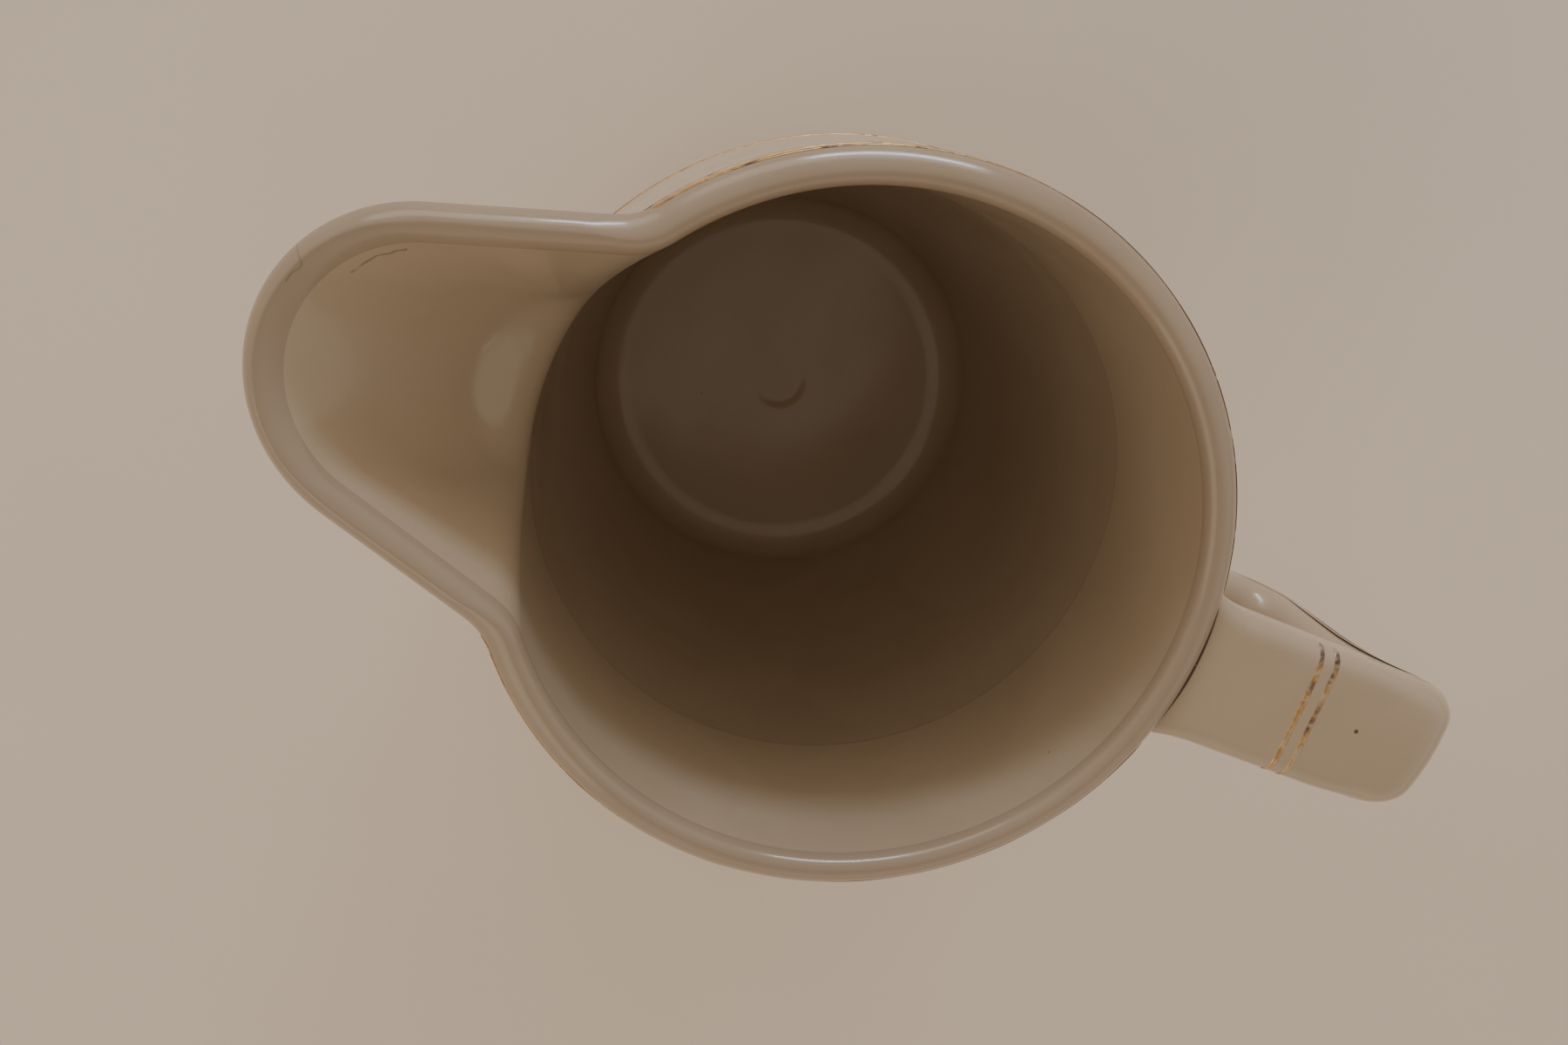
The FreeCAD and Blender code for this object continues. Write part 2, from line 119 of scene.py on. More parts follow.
def arc_between(start: Sequence[float], end: Sequence[float], radius: float, turn: int, count: int) -> Array:
    """Points along the circle of a radius from start to end, both included.

    The centre is on the upright through the chord's middle, as far from it as the root of the
    radius squared less half the chord squared, and the angle runs evenly.

    Args:
        start: First point, as distance from the axis and height.
        end: Last point.
        radius: The circle's radius.
        turn: +1 for anticlockwise and -1 for clockwise.
        count: How many points.

    Returns:
        The points, one a row.
    """
    start, end = np.asarray(start, float), np.asarray(end, float)
    chord = end - start
    half = np.hypot(*chord) / 2.0
    side = np.array([-chord[1], chord[0]]) / (2.0 * half) * turn
    centre = (start + end) / 2.0 + side * math.sqrt(max(radius**2 - half**2, 0.0))
    first, last = (math.atan2(*(point - centre)[::-1]) for point in (start, end))
    sweep = (last - first + math.pi) % (2.0 * math.pi) - math.pi
    angle = first + sweep * np.linspace(0.0, 1.0, count)
    return centre + radius * np.stack([np.cos(angle), np.sin(angle)], axis=1)


def rounded_path(corners: Array, radius: float, count: int, run: int) -> Array:
    """A path through corners with each inner corner rounded.

    Each rounding starts a radius before its corner and ends a radius after it, or half a side
    where that is less. It is count points of a quadratic curve that has the corner as its control
    point. The straight run between two roundings gets run points.

    Args:
        corners: The corners, one a row.
        radius: The roundings' radius, less where a side is short.
        count: Points in each rounding.
        run: Points in each straight run between roundings.

    Returns:
        The path's points, one a row.
    """
    parts = [corners[:1]]
    share = np.linspace(0.0, 1.0, count)[:, None]
    between = np.linspace(0.0, 1.0, run + 2)[1:-1, None]
    for before, corner, after in zip(corners[:-2], corners[1:-1], corners[2:]):
        back, ahead = before - corner, after - corner
        reach = min(radius, 0.5 * np.hypot(*back), 0.5 * np.hypot(*ahead))
        start = corner + back / np.hypot(*back) * reach
        end = corner + ahead / np.hypot(*ahead) * reach
        parts.append(parts[-1][-1] + (start - parts[-1][-1]) * between)
        parts.append((1 - share) ** 2 * start + 2 * share * (1 - share) * corner + share**2 * end)
    parts.append(parts[-1][-1] + (corners[-1] - parts[-1][-1]) * between)
    parts.append(corners[-1:])
    path = np.concatenate(parts)
    steps = np.hypot(*np.diff(path, axis=0).T)
    return path[np.concatenate([[True], steps > 1e-7])]


def unit(vectors: Array) -> Array:
    """The vectors at length one, and zero where they have none."""
    length = np.linalg.norm(vectors, axis=-1, keepdims=True)
    return np.divide(vectors, length, out=np.zeros_like(vectors), where=length > 1e-12)


def on_circle(centre: tuple[float, float], radius: float, angle: Array) -> Array:
    """Points on a circle: its centre plus the radius times each angle's cosine and sine."""
    return np.stack([centre[0] + radius * np.cos(angle), centre[1] + radius * np.sin(angle)], axis=1)


def finer(values: Array, times: int) -> Array:
    """Rows read at even steps, with a straight way from each row to the next.

    Args:
        values: The rows.
        times: How many rows there are in the end for each one.

    Returns:
        The rows, of which the first and the last are as they were.
    """
    number = np.arange(len(values))
    place = np.linspace(0.0, len(values) - 1.0, times * len(values))
    return np.stack([np.interp(place, number, column) for column in values.T], axis=1)


# ---------------------------------------------------------------------------------------------
# Grids of points and the meshes made of them
# ---------------------------------------------------------------------------------------------


def steps_along(points: Array, axis: int, wraps: bool) -> tuple[Array, Array]:
    """The steps before and after each point of a grid along one axis; end steps are repeated.

    Args:
        points: The grid's points.
        axis: 0 along the rows' order and 1 along the columns'.
        wraps: True where the last point is next to the first.

    Returns:
        The steps that lead to each point and the steps that leave it.
    """
    after = np.roll(points, -1, axis) - points
    before = points - np.roll(points, 1, axis)
    if not wraps:
        last, first = [slice(None)] * 3, [slice(None)] * 3
        last[axis], first[axis] = slice(-1, None), slice(0, 1)
        after[tuple(last)] = before[tuple(last)]
        before[tuple(first)] = after[tuple(first)]
    return before, after


@dataclass
class Grid:
    """A surface as rows of points, each of them a ring, with a normal and a bend at each point.

    Its normal is the cross product of the way along the rows' order and the way along the
    columns', each the sum of the unit steps before and after the point. The bend is the turn
    from one step to the next over their mean length: glaze thins where the surface bends away
    from its normal and pools where it bends towards it.
    """

    points: Array
    bend_scale: float = 1.1 * MM
    normals: Array = field(init=False)
    bend: Array = field(init=False)

    def __post_init__(self) -> None:
        """Works out the normals and the bend."""
        row_before, row_after = steps_along(self.points, 0, False)
        column_before, column_after = steps_along(self.points, 1, True)
        along = unit(row_before) + unit(row_after)
        around = unit(column_before) + unit(column_after)
        self.normals = unit(np.cross(along, around))
        self.bend = np.zeros(self.points.shape[:2])
        for before, after in ((row_before, row_after), (column_before, column_after)):
            turn = ((unit(after) - unit(before)) * self.normals).sum(-1)
            length = (np.linalg.norm(before, axis=-1) + np.linalg.norm(after, axis=-1)) / 2.0
            self.bend -= np.divide(turn, length, out=np.zeros_like(turn), where=length > 1e-7)
        self.bend *= self.bend_scale


@dataclass
class Skin:
    """Points, normals, bend and faces of one piece, before they become a mesh."""

    points: Array
    normals: Array
    bend: Array
    faces: list[list[int]]


def quads(rows: int, columns: int, wraps_rows: bool, wraps_columns: bool) -> Array:
    """Faces of a grid, each as its point, the next row's, that one's next column's and its own.

    Args:
        rows: How many rows of points.
        columns: How many columns.
        wraps_rows: True to join the last row to the first.
        wraps_columns: True to join the last column to the first.

    Returns:
        Four point numbers for each face.
    """
    row = np.arange(rows if wraps_rows else rows - 1)[:, None]
    column = np.arange(columns if wraps_columns else columns - 1)[None, :]
    next_row, next_column = (row + 1) % rows, (column + 1) % columns
    corners = [
        row * columns + column,
        next_row * columns + column,
        next_row * columns + next_column,
        row * columns + next_column,
    ]
    return np.stack(np.broadcast_arrays(*corners), axis=-1).reshape(-1, 4)


def skin_of(grid: Grid, rows: Array, columns: Optional[Array] = None, poles: bool = False) -> Skin:
    """Cuts a piece out of a grid.

    The rows chosen form a closed loop, or end in poles, and the columns form a ring or are a
    stretch with a flat cap at each end. What closes the loop is inside the pot's wall.

    Args:
        grid: The whole surface.
        rows: Numbers of the rows, in order.
        columns: Numbers of the columns, in order, or None for all of them.
        poles: True where the first and the last row are each a single point.

    Returns:
        The piece's points and faces.
    """
    whole_ring = columns is None
    columns = np.arange(grid.points.shape[1]) if whole_ring else columns
    pick = np.ix_(rows, columns)
    points, normals, bend = grid.points[pick], grid.normals[pick], grid.bend[pick]
    height, width = bend.shape
    faces = quads(height, width, not poles, whole_ring).tolist()
    points, normals, bend = points.reshape(-1, 3), normals.reshape(-1, 3), bend.reshape(-1)
    if poles:
        index = np.arange(height * width)
        index[:width] = 0
        index[-width:] = (height - 1) * width
        kept, renumbered = np.unique(index, return_inverse=True)
        points, normals, bend = points[kept], normals[kept], bend[kept]
        faces = [list(dict.fromkeys(face)) for face in renumbered[np.array(faces)].tolist()]
    if not whole_ring:
        ring = np.arange(height) * width
        faces += [ring[::-1].tolist(), (ring + width - 1).tolist()]
    return Skin(points, normals, bend, faces)


def volume_under(skin: Skin) -> float:
    """Six times the signed volume of a skin, summed over fans from each face's first point.

    Args:
        skin: A closed skin.

    Returns:
        The sum, which is positive where the faces point outwards.
    """
    total = 0.0
    for size in {len(face) for face in skin.faces}:
        faces = np.array([face for face in skin.faces if len(face) == size])
        first = skin.points[faces[:, 0]]
        for step in range(1, size - 1):
            cross = np.cross(skin.points[faces[:, step]], skin.points[faces[:, step + 1]])
            total += float((first * cross).sum())
    return total


def joined(skins: Sequence[Skin]) -> Skin:
    """Several skins as one, side by side.

    Args:
        skins: The skins.

    Returns:
        One skin with all their points and faces.
    """
    offsets = np.cumsum([0] + [len(skin.points) for skin in skins[:-1]])
    faces = [
        [int(corner + offset) for corner in face]
        for skin, offset in zip(skins, offsets)
        for face in skin.faces
    ]
    points, normals, bend = (
        np.concatenate([getattr(skin, name) for skin in skins]) for name in ("points", "normals", "bend")
    )
    return Skin(points, normals, bend, faces)


def turned_outwards(skin: Skin) -> Skin:
    """The same skin with its faces and normals pointing out of it.

    Args:
        skin: A closed skin, either way round.

    Returns:
        The skin itself, or its copy turned inside out.
    """
    if volume_under(skin) >= 0.0:
        return skin
    faces = [face[::-1] for face in skin.faces]
    return Skin(skin.points, -skin.normals, -skin.bend, faces)


def make_piece(
    name: str, skin: Skin, material: bpy.types.Material, nodes: Sequence[str]
) -> None:
    """Makes a piece of a skin, dresses it, hangs it on the body and hides the CAD nodes that it stands for.

    Args:
        name: The piece's name.
        skin: Its points and faces.
        material: Its finish.
        nodes: The CAD nodes that it stands for.
    """
    mesh = bpy.data.meshes.new(name)
    mesh.from_pydata(skin.points.tolist(), [], skin.faces)
    mesh.polygons.foreach_set("use_smooth", np.ones(len(mesh.polygons), bool))
    marks = {
        Mark.THIN: np.clip(skin.bend, 0.0, 1.0),
        Mark.POOL: np.clip(-skin.bend, 0.0, 1.0),
    }
    for mark, values in marks.items():
        attribute = mesh.attributes.new(mark.value, "FLOAT", "POINT")
        attribute.data.foreach_set("value", values.astype(np.float32))
    mesh.materials.append(material)
    mesh.update()
    mesh.normals_split_custom_set_from_vertices(skin.normals.tolist())
    piece = bpy.data.objects.new(name, mesh)
    bpy.context.scene.collection.objects.link(piece)
    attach(piece, BODY)
    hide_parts(*nodes)
    log.info("%s: %d points, %d faces", name, len(skin.points), len(skin.faces))


# ---------------------------------------------------------------------------------------------
# Finishes
# ---------------------------------------------------------------------------------------------


class NodeTree:
    """A material's nodes, with short ways to add and join them."""

    def __init__(self, name: str) -> None:
        """Starts an empty material.

        Args:
            name: The material's name.
        """
        self.material = bpy.data.materials.new(name)
        self.material.use_nodes = True
        self.tree = self.material.node_tree
        self.tree.nodes.clear()
        self.place = self.add("ShaderNodeTexCoord").outputs["Object"]

    def add(self, kind: str, **settings: object) -> bpy.types.Node:
        """A new node.

        Args:
            kind: Its type.
            **settings: Its own settings, by name.

        Returns:
            The node.
        """
        node = self.tree.nodes.new(kind)
        for name, value in settings.items():
            setattr(node, name, value)
        return node

    def feed(self, target: Socket, source: Socket | float | Sequence[float]) -> None:
        """Links a socket to another, or sets it to a constant.

        Args:
            target: The input that is fed.
            source: A socket, a number, a colour or a vector.
        """
        if isinstance(source, bpy.types.NodeSocket):
            self.tree.links.new(source, target)
        elif isinstance(source, (int, float)):
            target.default_value = source
        else:
            values = tuple(source)
            wanted = len(target.default_value)
            target.default_value = values + (1.0,) * (wanted - len(values))

    def math(self, operation: str, *values: Socket | float, clamp: bool = False) -> Socket:
        """The result of one sum.

        Args:
            operation: The sum's name.
            *values: Numbers or sockets.
            clamp: True to hold the result between 0 and 1.

        Returns:
            The result.
        """
        node = self.add("ShaderNodeMath", operation=operation, use_clamp=clamp)
        for target, value in zip(node.inputs, values):
            self.feed(target, value)
        return node.outputs[0]

    def vector(self, operation: str, *values: Socket | Sequence[float]) -> bpy.types.Node:
        """A node that works on vectors.

        Args:
            operation: What it does.
            *values: Vectors or sockets.

        Returns:
            The node, because its result is a vector or a number.
        """
        node = self.add("ShaderNodeVectorMath", operation=operation)
        for target, value in zip(node.inputs, values):
            self.feed(target, value)
        return node

    def noise(self, size: float, detail: float = 3.0, distortion: float = 0.0) -> Socket:
        """Soft noise from 0 to 1.

        Args:
            size: About how wide its patches are.
            detail: How many finer layers it has.
            distortion: How much it is swirled.

        Returns:
            The noise.
        """
        node = self.add("ShaderNodeTexNoise")
        self.feed(node.inputs["Vector"], self.place)
        self.feed(node.inputs["Scale"], 1.0 / size)
        self.feed(node.inputs["Detail"], detail)
        self.feed(node.inputs["Distortion"], distortion)
        return node.outputs["Fac"]

    def cells(self, size: float, place: Optional[Socket] = None) -> Socket:
        """The distance to the middle of the nearest of many random cells.

        Args:
            size: About how wide the cells are.
            place: The place, or None for the object's own.

        Returns:
            The distance as a share of a cell's size.
        """
        node = self.add("ShaderNodeTexVoronoi", feature="F1")
        self.feed(node.inputs["Vector"], place or self.place)
        self.feed(node.inputs["Scale"], 1.0 / size)
        return node.outputs["Distance"]

    def rise(
        self, value: Socket, low: float, high: float, to_low: float = 0.0, to_high: float = 1.0
    ) -> Socket:
        """Maps one range smoothly on to another, and holds the result there.

        Args:
            value: What is mapped.
            low: Where the first range starts.
            high: Where it ends.
            to_low: What low becomes.
            to_high: What high becomes.

        Returns:
            The mapped value.
        """
        node = self.add("ShaderNodeMapRange", interpolation_type="SMOOTHSTEP")
        for name, setting in zip(
            ("Value", "From Min", "From Max", "To Min", "To Max"), (value, low, high, to_low, to_high)
        ):
            self.feed(node.inputs[name], setting)
        return node.outputs["Result"]

    def mix(self, share: Socket | float, first: Socket | Colour, second: Socket | Colour) -> Socket:
        """A colour between two.

        Args:
            share: How much of the second it has.
            first: The colour at 0.
            second: The colour at 1.

        Returns:
            The colour.
        """
        node = self.add("ShaderNodeMix", data_type="RGBA")
        self.feed(node.inputs[0], share)
        self.feed(node.inputs[6], first)
        self.feed(node.inputs[7], second)
        return node.outputs[2]

    def mark(self, mark: Mark) -> Socket:
        """A number kept on the mesh's points."""
        return self.add("ShaderNodeAttribute", attribute_name=mark.value).outputs["Fac"]

    def shaken(self, size: float, reach: float) -> Socket:
        """The place moved about at random.

        Args:
            size: How wide the patches are that move together.
            reach: How far they move at most.

        Returns:
            The moved place.
        """
        node = self.add("ShaderNodeTexNoise")
        self.feed(node.inputs["Vector"], self.place)
        self.feed(node.inputs["Scale"], 1.0 / size)
        shift = self.vector("SUBTRACT", node.outputs["Color"], (0.5, 0.5, 0.5)).outputs[0]
        moved = self.vector("MULTIPLY", shift, (2.0 * reach,) * 3).outputs[0]
        return self.vector("ADD", self.place, moved).outputs[0]

    def bump(self, height: Socket, depth: float, under: Optional[Socket] = None) -> Socket:
        """The normal of a surface that rises and falls.

        Args:
            height: The rise, from 0 to 1.
            depth: The length that a rise of 1 stands for.
            under: The normal that it is laid on, or None for the mesh's own.

        Returns:
            The new normal.
        """
        node = self.add("ShaderNodeBump")
        self.feed(node.inputs["Strength"], 1.0)
        self.feed(node.inputs["Distance"], depth)
        self.feed(node.inputs["Height"], height)
        if under is not None:
            self.feed(node.inputs["Normal"], under)
        return node.outputs["Normal"]

    def finish(
        self, colour: Socket, roughness: Socket | float, normal: Socket, **constants: float | Socket
    ) -> bpy.types.Material:
        """Ends the material in one shader.

        Args:
            colour: Its colour.
            roughness: Its roughness.
            normal: Its bumps.
            **constants: The shader's other sockets, with _ for each space in their names.

        Returns:
            The finished material.
        """
        shader = self.add("ShaderNodeBsdfPrincipled")
        self.feed(shader.inputs["Base Color"], colour)
        self.feed(shader.inputs["Roughness"], roughness)
        self.feed(shader.inputs["Normal"], normal)
        for name, value in constants.items():
            self.feed(shader.inputs[name.replace("_", " ")], value)
        output = self.add("ShaderNodeOutputMaterial")
        self.tree.links.new(shader.outputs[0], output.inputs[0])
        return self.material


@dataclass(frozen=True)
class Hairline:
    """A fine crack, as a chain of points seen from above, above a level."""

    course: tuple[tuple[float, float], ...]
    lowest: float
    width: float = 0.16 * MM
    core: float = 0.4
    fade: float = 1.5 * MM

    def shade(self, tree: NodeTree, place: Socket) -> Socket:
        """How much of the crack shows at a place, from 0 to 1.

        The distance to each stretch is the length of what is left of the way from its start,
        after the part along it, held between its ends, is taken away; heights are left out.

        Args:
            tree: The material's nodes.
            place: The place, a little shaken, so that the crack wanders.

        Returns:
            1 on the crack and 0 away from it.
        """
        flat = tree.vector("MULTIPLY", place, (1.0, 1.0, 0.0)).outputs[0]
        nearest: Optional[Socket] = None
        for start, end in zip(self.course, self.course[1:]):
            way = (end[0] - start[0], end[1] - start[1], 0.0)
            squared = way[0] ** 2 + way[1] ** 2
            from_start = tree.vector("SUBTRACT", flat, (start[0], start[1], 0.0)).outputs[0]
            dot = tree.vector("DOT_PRODUCT", from_start, way).outputs["Value"]
            share = tree.math("DIVIDE", dot, squared, clamp=True)
            scaled = tree.add("ShaderNodeVectorMath", operation="SCALE")
            tree.feed(scaled.inputs[0], way)
            tree.feed(scaled.inputs["Scale"], share)
            rest = tree.vector("SUBTRACT", from_start, scaled.outputs[0]).outputs[0]
            distance = tree.vector("LENGTH", rest).outputs["Value"]
            nearest = distance if nearest is None else tree.math("MINIMUM", nearest, distance)
        line = tree.rise(nearest, self.core * self.width, self.width, 1.0, 0.0)
        split = tree.add("ShaderNodeSeparateXYZ")
        tree.feed(split.inputs[0], place)
        above = tree.rise(split.outputs["Z"], self.lowest, self.lowest + self.fade)
        return tree.math("MULTIPLY", line, above)


@dataclass(frozen=True)
class Glaze:
    """Ivory glaze: mottled, thinner and pinker over edges, warmer where it pools, and specked."""

    name: str = "ivory glaze"
    body: Colour = (0.455, 0.362, 0.26)
    mottle: Colour = (0.425, 0.335, 0.236)
    thin: Colour = (0.42, 0.33, 0.25)
    pool: Colour = (0.43, 0.33, 0.215)
    stain: Colour = (0.24, 0.18, 0.13)
    iron: Colour = (0.045, 0.030, 0.022)
    roughness: tuple[float, float] = (0.13, 0.25)
    speck_cell: float = 10.0 * MM
    speck_size: float = 0.20 * MM
    speck_core: float = 0.6
    cloud_size: float = 34.0 * MM
    grain_size: float = 1.6 * MM
    uneven_size: float = 3.5 * MM
    handled_size: float = 22.0 * MM
    ripple_size: float = 17.0 * MM
    ripple: float = 0.016 * MM
    peel_size: float = 0.9 * MM
    orange_peel: float = 0.003 * MM
    hairlines: tuple[Hairline, ...] = ()
    spots: tuple[tuple[float, float, float, float], ...] = ()

    def make(self) -> bpy.types.Material:
        """Makes the glaze.

        Returns:
            The finished material.
        """
        tree = NodeTree(self.name)
        colour = self.mottled(tree)
        colour = tree.mix(self.specks(tree), colour, self.iron)
        colour = self.cracked(tree, colour)
        handled = tree.rise(tree.noise(self.handled_size, 2.0), 0.40, 0.72)
        low, high = self.roughness
        roughness = tree.math("MULTIPLY_ADD", handled, high - low, low)
        normal = tree.bump(tree.noise(self.ripple_size, 2.0), self.ripple)
        normal = tree.bump(tree.noise(self.peel_size, 2.0), self.orange_peel, normal)
        return tree.finish(
            colour,
            roughness,
            normal,
            IOR=1.50,
            Coat_Weight=0.12,
            Coat_Roughness=0.05,
            Coat_IOR=1.45,
        )

    def mottled(self, tree: NodeTree) -> Socket:
        """The glaze's colour: clouds and grain, then what shows where it is thin or pooled.

        Args:
            tree: The material's nodes.

        Returns:
            The colour.
        """
        clouds = tree.noise(self.cloud_size, 4.0, 0.6)
        grain = tree.noise(self.grain_size, 3.0)
        colour = tree.mix(tree.rise(clouds, 0.36, 0.66), self.body, self.mottle)
        colour = tree.mix(tree.rise(grain, 0.55, 0.75, 0.0, 0.22), colour, self.mottle)
        uneven = tree.rise(tree.noise(self.uneven_size, 3.0), 0.30, 0.70, 0.55, 1.0)
        thinned = tree.math("MULTIPLY", tree.rise(tree.mark(Mark.THIN), 0.10, 0.75, 0.0, 0.62), uneven)
        colour = tree.mix(thinned, colour, self.thin)
        pooled = tree.rise(tree.mark(Mark.POOL), 0.08, 0.80, 0.0, 0.85)
        return tree.mix(pooled, colour, self.pool)

    def cracked(self, tree: NodeTree, colour: Socket) -> Socket:
        """The colour with its hairlines, which wander a little and fade in places.

        Args:
            tree: The material's nodes.
            colour: The colour without them.

        Returns:
            The colour with them.
        """
        if not self.hairlines:
            return colour
        wandering = tree.shaken(2.2 * MM, 0.35 * MM)
        fading = tree.rise(tree.noise(2.5 * MM, 2.0), 0.30, 0.55, 0.25, 0.85)
        for line in self.hairlines:
            shown = tree.math("MULTIPLY", line.shade(tree, wandering), fading)
            colour = tree.mix(shown, colour, self.stain)
        return colour

    def specks(self, tree: NodeTree) -> Socket:
        """Iron specks: where a random cell's middle comes close to the surface, and at known spots.

        Args:
            tree: The material's nodes.

        Returns:
            How much of a speck shows.
        """
        shaken = tree.shaken(0.5 * MM, 0.12 * MM)
        near, core = self.speck_size / self.speck_cell, self.speck_core
        shown = tree.rise(tree.cells(self.speck_cell, shaken), core * near, near, 0.85, 0.0)
        for across, along, up, size in self.spots:
            away = tree.vector("DISTANCE", shaken, (across, along, up)).outputs["Value"]
            shown = tree.math("MAXIMUM", shown, tree.rise(away, core * size, size, 0.9, 0.0))
        return shown


@dataclass(frozen=True)
class BareClay:
    """Unglazed earthenware: dry, grainy, grey where the foot has been rubbed."""

    name: str = "bare earthenware"
    body: Colour = (0.52, 0.41, 0.30)
    rubbed: Colour = (0.33, 0.27, 0.21)
    grit: Colour = (0.20, 0.15, 0.11)
    patch_size: float = 9.0 * MM
    grit_cell: float = 1.4 * MM
    grain_size: float = 0.35 * MM
    grain: float = 0.10 * MM

    def make(self) -> bpy.types.Material:
        """Makes the clay.

        Returns:
            The finished material.
        """
        tree = NodeTree(self.name)
        patches = tree.rise(tree.noise(self.patch_size, 5.0), 0.35, 0.70)
        colour = tree.mix(patches, self.body, self.rubbed)
        grains = tree.rise(tree.cells(self.grit_cell), 0.10, 0.22, 0.5, 0.0)
        colour = tree.mix(grains, colour, self.grit)
        fine = tree.noise(self.grain_size, 4.0)
        roughness = tree.rise(fine, 0.2, 0.8, 0.72, 0.95)
        return tree.finish(colour, roughness, tree.bump(fine, self.grain), IOR=1.45)


@dataclass(frozen=True)
class Gilding:
    """Brushed-on gold that is rubbed through to the glaze in places, tarnished in patches, and darker on one
    side where a dark reflection is painted into its colour.
    """

    name: str = "worn gilding"
    gold: Colour = (0.66, 0.43, 0.19)
    deep: Colour = (0.48, 0.30, 0.13)
    # Tarnish colour, which also paints the dark reflection on one side.
    tarnish_and_dark_reflection: Colour = (0.10, 0.055, 0.045)
    glaze: Colour = (0.50, 0.39, 0.27)
    wear: tuple[float, float] = (0.60, 0.70)
    browning: tuple[float, float] = (0.52, 0.66)
    # Axis, level and fade of the painted dark reflection.
    painted_reflection_side: tuple[str, float, float] = ("X", -14.0 * MM, 30.0 * MM)
    tone_size: float = 1.3 * MM
    brown_size: float = 5.0 * MM
    wear_size: float = 2.4 * MM
    brush_size: float = 0.5 * MM
    brush_depth: float = 0.01 * MM

    def make(self) -> bpy.types.Material:
        """Makes the gilding, which is darker below a level along one axis: a painted dark reflection.

        Returns:
            The finished material.
        """
        tree = NodeTree(self.name)
        colour = tree.mix(tree.rise(tree.noise(self.tone_size, 3.0), 0.35, 0.65), self.gold, self.deep)
        tarnish_and_reflection = tree.rise(tree.noise(self.brown_size, 4.0, 0.8), *self.browning)
        # Painted dark reflection: the gold is darkened below a level along one axis, on top of the random
        # tarnish.
        axis, dark, fade = self.painted_reflection_side
        split = tree.add("ShaderNodeSeparateXYZ")
        tree.feed(split.inputs[0], tree.shaken(1.5 * MM, 0.8 * MM))
        side = tree.rise(split.outputs[axis], dark, dark + fade, 1.0, 0.0)
        tarnish_and_reflection = tree.math("MAXIMUM", tarnish_and_reflection, side)
        colour = tree.mix(tarnish_and_reflection, colour, self.tarnish_and_dark_reflection)
        worn = tree.rise(tree.noise(self.wear_size, 5.0, 1.0), *self.wear)
        colour = tree.mix(worn, colour, self.glaze)
        bright = tree.rise(tarnish_and_reflection, 0.0, 1.0, 1.0, 0.35)
        metallic = tree.math("MULTIPLY", tree.math("SUBTRACT", 1.0, worn), bright)
        roughness = tree.rise(tree.noise(0.8 * MM, 3.0), 0.3, 0.7, 0.22, 0.42)
        normal = tree.bump(tree.noise(self.brush_size, 2.0), self.brush_depth)
        return tree.finish(colour, roughness, normal, Metallic=metallic, IOR=1.5)


@dataclass(frozen=True)
class PaleFloor:
    """A plain, pale, matt studio floor with a faint warm unevenness."""

    name: str = "pale floor"
    body: Colour = (0.84, 0.745, 0.645)
    shade: Colour = (0.79, 0.695, 0.60)
    roughness: float = 0.9
    patch_size: float = 260.0 * MM
    grain_size: float = 0.9 * MM
    grain: float = 0.02 * MM

    def make(self) -> bpy.types.Material:
        """Makes the floor's finish.

        Returns:
            The finished material.
        """
        tree = NodeTree(self.name)
        colour = tree.mix(tree.rise(tree.noise(self.patch_size, 3.0), 0.3, 0.7), self.body, self.shade)
        fine = tree.noise(self.grain_size, 3.0)
        return tree.finish(colour, self.roughness, tree.bump(fine, self.grain), IOR=1.4)


# ---------------------------------------------------------------------------------------------
# The pot: foot, base, belly, collar, spout and lip
# ---------------------------------------------------------------------------------------------


@dataclass(frozen=True)
class Beak:
    """The spout's plan at each height: two straight sides that draw together to a round tip."""

    reaches: tuple[float, float, float]
    tip_radii: tuple[float, float, float]
    side_angle: float = math.radians(19.0)

    def distance(self, angle: Array, share: Array) -> Array:
        """The plan's distance from the axis.

        On a side it is the side's own distance from the axis over the cosine of the angle between
        the direction and the side's square. On the tip it is where the direction leaves the tip's
        circle. Past the square to the side the beak has ended.

        Args:
            angle: Direction from the axis, 0 along the spout.
            share: Height, from 0 at the crease to 1 at the lip.

        Returns:
            The distance for each direction and height.
        """
        reach, tip = through_three(*self.reaches, share), through_three(*self.tip_radii, share)
        centre, away = reach - tip, np.abs(angle)
        offset = centre * math.sin(self.side_angle) + tip
        square = math.pi / 2.0 - self.side_angle
        touch = np.arctan2(tip * math.cos(self.side_angle), centre + tip * math.sin(self.side_angle))
        side = offset / np.cos(np.minimum(away, square) - square)
        front = centre * np.cos(away) + np.sqrt(np.maximum(tip**2 - (centre * np.sin(away)) ** 2, 0.0))
        return np.where(away < touch, front, side)


